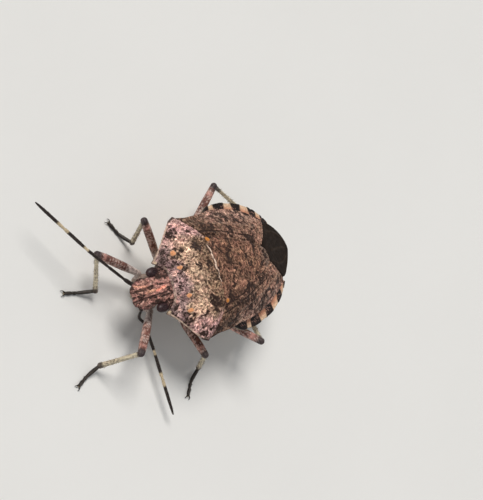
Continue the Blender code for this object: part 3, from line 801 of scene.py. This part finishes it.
SCUTELLUM_BLOTS = ((-0.55, 6.5, 0.32, 0.12), (0.2, 6.75, 0.14, 0.12), (0.46, 6.6, 0.14, 0.1),
                   (0.85, 8.9, 0.16, 0.2), (-0.2, 10.35, 0.22, 0.16), (0.43, 9.7, 0.16, 0.22),
                   (1.31, 7.75, 0.16, 0.16), (-1.9, 5.75, 0.3, 0.16), (1.9, 5.95, 0.35, 0.2),
                   (-0.9, 7.9, 0.14, 0.12), (0.2, 8.3, 0.12, 0.16), (-0.5, 9.2, 0.14, 0.12),
                   (1.0, 6.3, 0.2, 0.1), (-0.1, 7.4, 0.14, 0.08))


def build_scutellum(material):
    def plan(u, v):
        y = blend(SCUTELLUM_ROOT_Y, SCUTELLUM_TIP_Y, v)
        return u * scutellum_half(y), y

    def top(x, y):
        across = clamp(np.abs(x) / (scutellum_half(y) + 1e-6))
        tuckin = -0.14 * fall(5.35, 5.6, y)
        step = 0.02 * (1 - across ** 10)
        waves = 0.018 * wave(x, y, 5.5, 0.9) + 0.009 * np.sin(13 * x + 5 * np.sin(2.7 * y))
        knob = 0.05 * hill(np.abs(x), y, 2.0, 5.62, 0.22, 0.18)
        hollows = dimples(pit_field(x, y, *SCUTELLUM_PITS), 0.034, 0.085)
        rim = 0.03 * smooth(0.8, 0.95, across) * smooth(9.5, 10.2, y)
        return back_z(x, y) + tuckin + step + waves + knob + hollows + rim

    def look(x, y, under):
        ax = np.abs(x)
        edge = ax / (scutellum_half(y) + 1e-6)
        tip = smooth(9.7, 10.4, y)
        warm = blots(x, y, ((-0.4, 7.6, 0.6, 0.6), (0.3, 8.9, 0.5, 0.6), (-1.2, 6.5, 0.5, 0.4)))
        ground = paint([(warm, (0.33, 0.17, 0.11)), (tip, (0.26, 0.17, 0.13)),
                        (smooth(0.85, 1.0, edge) * 0.5, (0.16, 0.075, 0.055)),
                        (under, UMBER)], (0.26, 0.135, 0.092))
        dark = blots(x, y, SCUTELLUM_BLOTS)
        blotch = 0.3 + 0.7 * dark + 0.3 * smooth(0.9, 1.0, edge)
        gold = spot(x, y, -2.08, 5.53, 0.17, 0.11) + spot(x, y, 1.95, 5.62, 0.16, 0.11)
        lip = smooth(0.86, 0.95, edge) * smooth(10.0, 10.3, y) * 0.7
        marks = paint([(gold, (0.72, 0.27, 0.06))], (0.45, 0.34, 0.28))
        pits = pit_field(x, y, *SCUTELLUM_PITS)
        return leather(ground, clamp(blotch), pits, marks, clamp(gold + lip), under)

    shell("scutellum", plan, top, lambda x, y: back_z(x, y) - PLATE_DEPTH, look, material,
          columns=150, rows=190)


def corium_inner(y, side):
    """The leathery wing's inner edge: beside the scutellum, then slanting out over the film."""
    beside = scutellum_half(y) - 0.12
    if side > 0:
        oblique = 0.36 + 0.76 * np.maximum(y - 10.75, 0)
    else:
        oblique = 0.76 + 0.82 * np.maximum(y - 10.4, -0.2)
    return np.maximum(beside, oblique)


CORIUM_BLOTS = {
    -1: ((-2.9, 6.65, 0.2, 0.16), (-2.79, 7.7, 0.2, 0.18), (-2.5, 7.9, 0.18, 0.2),
         (-2.25, 8.05, 0.2, 0.2), (-1.98, 7.6, 0.14, 0.16), (-2.72, 9.2, 0.16, 0.14),
         (-2.04, 10.56, 0.14, 0.3), (-1.5, 9.0, 0.24, 0.34), (-1.1, 9.45, 0.12, 0.2),
         (-2.4, 6.3, 0.18, 0.14), (-3.2, 10.0, 0.12, 0.2), (-2.9, 8.5, 0.12, 0.2)),
    1: ((1.3, 9.2, 0.2, 0.35), (1.35, 10.8, 0.1, 0.16), (2.22, 8.3, 0.2, 0.3),
        (1.85, 7.2, 0.16, 0.2), (2.16, 10.05, 0.14, 0.3), (3.0, 6.7, 0.2, 0.2),
        (2.76, 8.0, 0.16, 0.2), (1.6, 8.4, 0.14, 0.24), (2.7, 9.4, 0.14, 0.24),
        (1.8, 11.5, 0.12, 0.2)),
}


def build_corium(name, side, material):
    front = HIND_EDGE_Y - 0.1
    rear = CORIUM_TIP_Y - (0.08 if side > 0 else 0.44)

    def plan(u, v):
        y_mid = blend(front, rear, v)
        t = (u * side + 1) / 2
        fore = (1 - v) ** 3
        x = blend(corium_inner(y_mid, side), wing_half(y_mid - 0.6 * fore, side) + 0.02, t)
        lead = pronotum_rear(x) - 0.1
        return side * x, y_mid + (lead - front) * fore

    def across(x, y):
        inner = corium_inner(y, side)
        return clamp((np.abs(x) - inner) / (wing_half(y, side) - inner + 1e-6))

    def suture(x, y):
        off = np.abs(x) - scutellum_half(y) - 0.42 - 0.04 * (y - 6)
        return bell(off, 0.05) * fall(9.8, 10.4, y)

    def vein(t, y, width):
        return bell(t - 0.55 + 0.02 * (y - 8), width) * fall(10.6, 11.6, y)

    def top(x, y):
        ax = np.abs(x)
        under_shield = -0.12 * fall(0.0, 0.22, y - pronotum_rear(x))
        under_scutellum = -0.1 * fall(0.1, 0.3, ax - scutellum_half(y) * (y < 10.7))
        t = across(x, y)
        lines = 0.06 * vein(t, y, 0.035) - 0.05 * suture(x, y)
        costa = 0.05 * smooth(0.93, 0.98, t)
        waves = 0.022 * wave(x, y, 6.5, 0.5 + side) + 0.012 * np.sin(12 * x + 5 * np.sin(2.3 * y))
        hollows = dimples(pit_field(x, y, *WING_PITS[side]), 0.034, 0.08)
        covered = under_shield + under_scutellum
        return back_z(x, y) + covered + lines + costa + waves + hollows

    def look(x, y, under):
        t = across(x, y)
        base = fall(6.2, 7.4, y + 0.3 * wave(x, y, 2.0, 0.5))
        outer = smooth(0.5, 0.9, t)
        ground = paint([(outer, (0.44, 0.265, 0.21)), (0.85 * base, (0.19, 0.11, 0.075)),
                        (under, UMBER)], (0.32, 0.18, 0.13))
        dark = blots(x, y, CORIUM_BLOTS[side])
        blotch = 0.36 + 0.85 * dark + 0.5 * suture(x, y) + 0.1 * base
        veinline = vein(t, y, 0.025) * smooth(6.4, 7.4, y)
        hind = bell(np.abs(x) - corium_inner(y, side), 0.03) * smooth(10.7, 11.0, y)
        marks = paint([(hind, (0.5, 0.34, 0.26))], (0.52, 0.35, 0.27))
        gleam = 0.5 * veinline * (wave(x, y, 9, 0.1) > 0.1) + 0.5 * hind
        pits = pit_field(x, y, *WING_PITS[side])
        return leather(ground, clamp(blotch - 0.2 * veinline), pits, marks, clamp(gleam), under)

    def tuck(u, v):
        return side * np.minimum(u * side, 1 - 0.12 * (u * side + 1) / 2), v

    shell(name, plan, top, lambda x, y: back_z(x, y) - WING_DEPTH, look, material,
          columns=110, rows=250, tuck=tuck)


def build_membrane(material):
    front = 10.1
    veins = 7

    def plan(u, v):
        y = blend(front, BODY_LENGTH, v)
        return u * film_half(y, u), y

    def rib(x, y):
        across = x / film_half(y, x)
        lines = clamp(np.cos((across + 0.12) * veins * pi / 2)) ** 8
        return lines * smooth(11.4, 12.2, y) * fall(13.8, 14.4, y)

    def top(x, y):
        fold = smooth(-0.04, 0.06, x - 0.75 * (y - 10.7)) * smooth(10.9, 11.5, y)
        return back_z(x, y) - 0.11 + 0.03 * rib(x, y) - 0.03 * fold

    def look(x, y, under):
        ground = paint([(rib(x, y) * 0.5, (0.055, 0.038, 0.027)), (under, (0.03, 0.02, 0.015))],
                       (0.019, 0.012, 0.0085))
        return {"ground": (ground, 0.0)}

    shell("membrane", plan, top, lambda x, y: back_z(x, y) - WING_DEPTH, look, material,
          columns=130, rows=130, tuck=lambda u, v: (0.94 * u, 0.97 * v), rim=0.02)


BLACK_BANDS = (7.6, 9.14, 10.7, 12.05, 13.02, 13.8)
BREATHING_HOLES = (3.2, 3.35, 3.2, 2.8, 2.3)


def band(y, side):
    """1 in the black bands at the seams of the belly's rim, which lie further back at left."""
    y = y - np.where(side > 0, 0.28, 0.0)
    out = np.zeros(np.shape(y))
    for s in BLACK_BANDS:
        half = 0.53 - 0.065 * (s - 9.14)
        out = np.maximum(out, fall(half - 0.05, half + 0.05, np.abs(y - s)))
    return out


def seam_near(y):
    """How close y is to a seam between two rings of the belly, 1 on it."""
    return sum(bell(y - seam, 0.05) for seam in BELLY_SEAMS)


def build_abdomen(material):
    front = 6.2

    def tucked(y):
        return fall(front, 7.3, y)

    def plan(u, v):
        y = blend(front, ABDOMEN_TIP_Y, v)
        scallop = 0.04 * (band(y, u) - 0.5) - 0.05 * seam_near(y)
        half = abdomen_half(y) - 0.5 * tucked(y)
        return u * (half + scallop * smooth(7.4, 8.2, y) * fall(13.5, 14, y)), y

    def top(x, y):
        ax = np.abs(x)
        past = smooth(-0.05, 0.08, ax - wing_half(y, x) * 0.95 - 0.1)
        flange = flange_z(y) + 0.1 * (abdomen_half(y) - ax) - 0.04 * seam_near(y) * past
        flange = np.minimum(flange, back_z(x, y) - 0.3)
        covered = np.minimum(back_z(x, y) - 0.55, flange + 0.4)
        return blend(covered, flange, past)

    def bottom(x, y):
        across = clamp(np.abs(x) / abdomen_half(y))
        raised = 0.35 * tucked(y)
        return blend(belly_z(y) + raised, flange_z(y) - 0.28, across ** 2.2) + 0.05 * seam_near(y)

    def look(x, y, under):
        ax = np.abs(x)
        edge = abdomen_half(y)
        inward = clamp((edge - ax) / 0.6)
        tilt = 0.1 * inward
        dark = band(y + tilt * np.sign(np.sin(y * 4.1)), x)
        flange = smooth(0.0, 0.12, ax - edge + 0.85)
        pale = dye((0.78, 0.55, 0.37), (0.66, 0.31, 0.19), smooth(0.1, 0.8, inward))
        ground = dye((0.5, 0.4, 0.28), pale, flange)
        ground = dye(ground, CREAM, under * flange * 0.8)
        hole = sum(spot(ax, y, out, seam - 0.7, 0.06, 0.06)
                   for seam, out in zip(BELLY_SEAMS, BREATHING_HOLES)) * under
        fleck = clamp(wave(x, y, 17, 0.6) - 0.35) * 1.6 * dark * smooth(0.15, 0.4, inward)
        strength = clamp(dark * flange * (1 - 0.55 * under) + hole)
        marks = dye((0.014, 0.008, 0.007), (0.4, 0.22, 0.17), clamp(fleck))
        return {"ground": (ground, 0.35 * under), "marks": (marks, strength)}

    shell("abdomen", plan, top, bottom, look, material, columns=170, rows=200)


def build_thorax(material):
    def half(y):
        drawn_in = blend(0.6, 0.4, smooth(4, 6.5, y))
        return np.minimum(shield_half(y), shield_half(y - 0.5)) - drawn_in

    def plan(u, v):
        y = blend(2.6, 7.3, v)
        return u * half(y), y

    def top(x, y):
        return back_z(x, y) - PLATE_DEPTH

    def bottom(x, y):
        edge = margin_z(y) - 0.75
        keel = blend(0.42, 1.15, smooth(0, 1, (3.4 - y) / 0.8))
        side_seam = 0.06 * (bell(y - 4.15, 0.07) + bell(y - 6.1, 0.07))
        cup = 0.06 * sum(hill(np.abs(x), y, 0.85, c, 0.55, 0.55) for c in (3.0, 5.3, 6.8))
        groove = 0.12 * bell(x, 0.22)
        hollows = dimples(pit_field(x, y, *THORAX_PITS), 0.02)
        base = blend(keel, edge, clamp(np.abs(x) / half(y)) ** 2)
        return base + side_seam + cup + groove - hollows

    def look(x, y, under):
        # Darker at the front, under the pronotum's front lip: the prothorax's own dark underside
        # with painted shade laid on it.
        fore = fall(3.1, 3.5, y)
        ground = paint([(fore, (0.13, 0.075, 0.06))], (0.4, 0.31, 0.22))
        gland = spot(np.abs(x), y, 1.75, 5.75, 0.5, 0.18) * under
        return leather(ground, 0.1 + 0.3 * fore, pit_field(x, y, *THORAX_PITS),
                       (0.25, 0.2, 0.15), gland * 0.7, 0)

    shell("thorax", plan, top, bottom, look, material, columns=110, rows=120,
          tuck=lambda u, v: (0.95 * u, blend(0.08, 1, v)))


def build_rostrum(material):
    """Four joints under the body."""
    joints = ((0, 1.0, 1.12), (0, 1.9, 0.62), (0, 3.1, 0.12), (0, 4.9, -0.07), (0, 6.35, -0.1))
    forms = []
    for k in range(4):
        limb = Limb((joints[k], joints[k + 1]), lambda t, w=0.2 - 0.025 * k: w * (1 - 0.12 * t),
                    rings=14, sides=14)
        tint = dye(np.array(STRAW) * 0.8, PITCH, smooth(0.8, 1, limb.t))
        tint = blend(tint, np.array(PITCH), 0.8 * (k == 3))
        forms.append(limb.tinted(tint))
    joined("rostrum", forms, material, 0.2)


LEGS = {
    "fore_right": ((-1.25, 2.75, 0.3), (-3.07, -0.72, 0.95), (-0.98, -0.31, -0.6),
                   (-1.44, -2.52)),
    "mid_right": ((-1.4, 5.2, -0.3), (-4.3, 3.15, 1.75), (-3.24, 3.92, -0.7), (-5.09, 2.81)),
    "hind_right": ((-1.5, 6.75, -0.35), (-5.37, 10.48, 1.4), (-3.52, 14.5, -0.7), (-2.8, 16.2)),
    "fore_left": ((1.21, 2.73, 0.35), (3.45, -0.3, 1.75), (3.47, -1.6, -0.7), (4.35, -3.45)),
    "mid_left": ((1.4, 5.35, -0.3), (4.9, 5.05, 1.6), (5.7, 6.4, -0.7), (7.4, 5.1)),
    "hind_left": ((1.5, 6.75, -0.35), (5.25, 9.51, 2.4), (3.8, 12.4, -0.75), (3.6, 14.5)),
}
LEG_SIZES = {"fore": (0.275, 0.15), "mid": (0.265, 0.145), "hind": (0.265, 0.15)}


def speckled(limb, seed):
    """A thigh: whitish at its root, then maroon with pink streaks, and a dark knee."""
    t = limb.t
    mm = t * limb.length
    high = np.sin(limb.angle)
    x, y = mm + 3.1 * seed, limb.angle * 0.28
    mottle = wave(x, y, 6.5, seed) + 0.6 * wave(x, y, 13.0, 2.0 * seed)
    streak = smooth(0.55, 0.95, 1 - np.abs(high) + 0.45 * wave(x, y, 5.0, seed + 1.0))
    colour = dye((0.2, 0.088, 0.07), (0.6, 0.34, 0.28), streak)
    maroon = smooth(0.1, 0.45, mottle)
    colour = dye(colour, (0.11, 0.045, 0.038), 0.85 * maroon)
    fleck = smooth(0.15, 0.45, wave(x, y, 14.0, seed + 2.0))
    colour = dye(colour, (0.68, 0.52, 0.46), 0.75 * fleck)
    pale = fall(0.26, 0.42, t + 0.05 * mottle)
    root = dye((0.66, 0.56, 0.52), (0.33, 0.25, 0.24), 0.8 * smooth(0.2, 0.55, mottle))
    colour = dye(colour, root, pale)
    ring = bell(t - 0.87, 0.03) * smooth(-0.2, 0.3, high)
    colour = dye(colour, (0.72, 0.36, 0.3), 0.7 * ring)
    knee = smooth(0.92, 0.975, t)
    return dye(colour, (0.04, 0.032, 0.036), 0.9 * knee)


def build_leg(name, hip, knee, ankle, tip, materials, seed):
    hip, knee, ankle = (np.array(p, float) for p in (hip, knee, ankle))
    tip = np.array([*tip, SOLE_Z])
    thick, thin = LEG_SIZES[name.split("_")[0]]
    sign = 1 if hip[0] > 0 else -1
    inner = hip[0] - 0.42 * sign
    socket = np.array([inner, hip[1] + 0.22, 0.42])
    foot_of_coxa = np.array([inner + 0.05 * sign, hip[1] + 0.08, -0.25])
    coxa = Limb((socket, (socket + foot_of_coxa) / 2, foot_of_coxa),
                lambda t: 0.33 - 0.07 * t, rings=16, sides=20)
    near_hip = hip + (knee - hip) * 0.05
    trochanter = Limb((foot_of_coxa, hip, near_hip), lambda t: 0.19 - 0.01 * t, rings=12,
                      sides=16)
    joined(f"{name}_coxa", [coxa.tinted((0.4, 0.3, 0.25)), trochanter.tinted((0.54, 0.44, 0.4))],
           materials["limb"], 0.5)

    bow = (hip + knee) / 2 + np.array([0, 0, 0.06])
    girth = profile((0, 0.62), (0.15, 0.82), (0.45, 1.0), (0.75, 1.0), (0.92, 0.9), (1, 0.84))
    femur = Limb((hip, bow, knee), lambda t: thick * girth(t), rings=90, sides=28,
                 ridge=lambda t, a: 0.03 * np.sin(3 * a + 6 * t))
    hairs = bristles(femur, (0.35, 0.28, 0.22), seed, count=70, length=0.14)
    joined(f"{name}_femur", [femur.tinted(speckled(femur, seed)), *hairs], materials["limb"],
           0.5)

    shin = profile((0, 0.95), (0.06, 1.1), (0.14, 0.92), (0.5, 0.95), (0.85, 1.05), (1, 1.2))
    tibia = Limb((knee, (knee + ankle) / 2, ankle), lambda t: thin * shin(t), rings=80,
                 sides=24, ridge=lambda t, a: 0.1 * np.cos(4 * a) - 0.06)
    t = tibia.t
    if name.startswith("hind"):
        root, end = fall(0.14, 0.24, t), smooth(0.88, 0.97, t)
    else:
        root, end = fall(0.05, 0.11, t), smooth(0.86, 0.95, t)
    mm = t * tibia.length + 2.3 * seed
    flecks = smooth(0.3, 0.6, wave(mm, tibia.angle * 0.25, 12.0, seed)) * smooth(0.15, 0.6, t)
    pale = dye((0.72, 0.63, 0.46), (0.16, 0.1, 0.085), 0.8 * flecks)
    tint = dye(pale, (0.045, 0.03, 0.03), 0.9 * clamp(root + end))
    hairs = bristles(tibia, (0.4, 0.34, 0.27), seed + 50, count=150, length=0.17, lean=0.5)
    joined(f"{name}_tibia", [tibia.tinted(tint), *hairs], materials["limb"], 0.3)
    build_foot(name, ankle, tip, materials["dark"], seed)


def build_foot(name, ankle, tip, material, seed):
    """Three joints, the middle one short, then two claws, each with a pad."""
    middle = np.array([*(ankle[:2] * 0.5 + tip[:2] * 0.5), SOLE_Z])
    steps, last_end = 60, 0.86
    path = route((ankle, blend(ankle, middle, 0.62) - [0, 0, 0.08], middle,
                  blend(middle, tip, 0.5), tip), steps)
    span = np.linspace(0, 1, steps + 1)
    cuts = ((0.0, 0.42, 0.115), (0.44, 0.6, 0.105), (0.62, last_end, 0.11))
    forms = []
    for start, end, width in cuts:
        part = path[(span >= start) & (span <= end)]
        limb = Limb(tuple(part[np.linspace(0, len(part) - 1, 5).astype(int)]),
                    lambda t, w=width: w * (0.72 + 0.35 * np.sin(pi * clamp(0.15 + 0.75 * t))),
                    rings=16, sides=14, floor=FLOOR_Z)
        # Painted sheen: each joint's upper side is tinted lighter than the rest.
        top_sheen = dye((0.02, 0.015, 0.015), (0.12, 0.1, 0.08),
                    smooth(0.5, 0.95, np.sin(limb.angle)) * 0.35)
        forms.append(limb.tinted(top_sheen))
        forms += bristles(limb, (0.06, 0.045, 0.035), seed + 90, count=26, length=0.11)
    joined(f"{name}_tarsus", forms, material)
    end = path[int(last_end * steps)]
    ahead = unit(tip - end)
    across = unit(np.cross(ahead, [0, 0, 1]))
    forms = []
    for side in (-1, 1):
        reach = (end - 0.05 * ahead + 0.03 * side * across,
                 end + 0.16 * ahead + 0.12 * side * across + [0, 0, 0.05],
                 end + 0.25 * ahead + 0.17 * side * across + [0, 0, -0.02],
                 end + 0.3 * ahead + 0.15 * side * across + [0, 0, -0.07])
        claw = Limb(reach, lambda t: 0.045 * (1 - 0.8 * t), rings=14, sides=10, floor=FLOOR_Z)
        forms.append(claw.tinted(BLACK))
        pad = Limb((end, end + 0.1 * ahead + 0.06 * side * across - [0, 0, 0.03]),
                   lambda t: 0.045 + 0 * t, rings=6, sides=10, floor=FLOOR_Z)
        forms.append(pad.tinted((0.3, 0.25, 0.17)))
    joined(f"{name}_claws", forms, material, has_node=False)


FEELERS = {
    "right": ((-0.78, 1.0, 1.18), (-1.13, 0.66, 1.2), (-2.12, -0.46, 1.38),
              (-3.49, -1.98, 1.65), (-5.04, -3.0, 1.4), (-6.97, -4.37, 1.2)),
    "left": ((0.72, 1.25, 1.12), (0.98, 1.66, 0.76), (1.85, 2.4, -0.08),
             (3.72, 2.6, -0.2), (5.4, 2.7, -0.3), (7.86, 2.85, -0.45)),
}
FEELER_BENDS = {("left", 2): (1.4, 1.93, 0.1)}
FEELER_WIDTHS = (0.13, 0.095, 0.1, 0.108, 0.104)


def build_feeler(name, joints, material):
    """Five joints: dark, with pale rings where the last three meet."""
    for k in range(5):
        start, end = np.array(joints[k], float), np.array(joints[k + 1], float)
        bend = FEELER_BENDS.get((name, k + 1))
        places = (start, np.array(bend), end) if bend else (start, (start + end) / 2, end)
        if k == 0:
            inward = -0.1 if start[0] > 0 else 0.1
            places = (start + [inward, 0.12, 0.42], start + [inward / 3, 0.02, 0.12], end)
        width = FEELER_WIDTHS[k]
        stout = profile((0, 0.72), (0.12, 0.85), (0.5, 1.0), (0.88, 1.0), (1, 0.8)) if k < 4 \
            else profile((0, 0.7), (0.15, 0.95), (0.5, 1.0), (0.8, 0.85), (1, 0.45))
        limb = Limb(places, lambda t: width * stout(t), rings=44, sides=16)
        t = limb.t
        pale = (0 * t, 0 * t, smooth(0.93, 0.97, t),
                fall(0.1, 0.17, t) + smooth(0.8, 0.87, t), fall(0.2, 0.28, t))[k]
        tint = dye((0.028, 0.02, 0.018), (0.62, 0.5, 0.33), clamp(pale))
        hairs = bristles(limb, (0.25, 0.2, 0.15), 7 * k + len(name), count=60 if k > 1 else 24,
                         length=0.1, lean=0.65)
        joined(f"antenna_{name}_{k + 1}", [limb.tinted(tint), *hairs], material)


def build_stage():
    """A pale floor, a soft key from the bug's right, two fills and a dim sky."""
    n = Nodes("floor", 0.9, 0.2)
    tone = n.mix(n.remap(n.noise(0.05, 2.0), 0.3, 0.7), (0.84, 0.84, 0.825), (0.855, 0.855, 0.84))
    n.bump(n.noise(0.6, 3.0), 0.02)
    n.finish(tone)
    far = 4.0
    mesh = bpy.data.meshes.new("floor")
    mesh.from_pydata([(-far, -far, 0), (far, -far, 0), (far, far, 0), (-far, far, 0)], [],
                     [(0, 1, 2, 3)])
    mesh.materials.append(n.material)
    floor = put("floor", mesh)
    for name, place, spread, strength, tint in (
            ("key", (-0.08, -0.02, 0.12), 0.5, 2.25, (1.0, 0.965, 0.92)),
            ("fill", (0.12, -0.1, 0.07), 0.9, 0.28, (0.93, 0.96, 1.0)),
            ("back", (0.05, 0.15, 0.1), 0.9, 0.2, (1.0, 1.0, 1.0))):
        light = bpy.data.lights.new(name, "SUN")
        light.angle = spread
        light.energy = strength
        light.color = tint
        lamp = put(name, light)
        lamp.location = place
        lamp.rotation_euler = Vector(place).to_track_quat("Z", "Y").to_euler()
    sky = bpy.data.worlds.new("sky")
    sky.use_nodes = True
    sky.node_tree.nodes["Background"].inputs["Color"].default_value = (0.96, 0.98, 1.0, 1)
    sky.node_tree.nodes["Background"].inputs["Strength"].default_value = 0.25
    bpy.context.scene.world = sky


def build_camera():
    """The photograph's view: from ahead and above, rolled so that the head is at its left."""
    e, turn, roll = radians(CAMERA_ELEVATION), radians(CAMERA_TURN), radians(CAMERA_ROLL)
    back = Vector((sin(turn) * cos(e), -cos(turn) * cos(e), sin(e)))
    level = Vector((0, 0, 1)).cross(back).normalized()
    rise = back.cross(level)
    right = cos(roll) * level + sin(roll) * rise
    up = -sin(roll) * level + cos(roll) * rise
    lens = bpy.data.cameras.new("camera")
    lens.sensor_fit = "VERTICAL"
    lens.sensor_height = SENSOR
    lens.lens = CAMERA_LENS
    lens.clip_start = 0.005
    camera = put("camera", lens)
    place = Matrix((right, up, back)).transposed().to_4x4()
    place.translation = world(CAMERA_PLACE)
    camera.matrix_world = place
    bpy.context.scene.camera = camera


def build_bug():
    shield = cuticle("shield")
    wing = cuticle("wing", (0.48, 0.42, 0.4), 0.52)
    face = cuticle("face", (0.6, 0.52, 0.52), 0.46)
    breast = cuticle("breast", (0.5, 0.45, 0.4), 0.5)
    belly = smooth_cuticle("belly", 0.45)
    limbs = {"limb": smooth_cuticle("limb", 0.45), "dark": smooth_cuticle("dark", 0.4)}
    build_head(face)
    eye = eye_material()
    build_eye("eye_left", 1, eye)
    build_eye("eye_right", -1, eye)
    build_pronotum(shield)
    build_scutellum(wing)
    build_corium("corium_left", 1, wing)
    build_corium("corium_right", -1, wing)
    build_membrane(membrane_material())
    build_abdomen(belly)
    build_thorax(breast)
    build_rostrum(belly)
    for seed, (name, joints) in enumerate(LEGS.items()):
        build_leg(name, *joints, limbs, seed + 1)
    for name, joints in FEELERS.items():
        build_feeler(name, joints, limbs["dark"])


build_camera()
build_stage()
build_bug()
bpy.context.scene.view_settings.view_transform = "Standard"
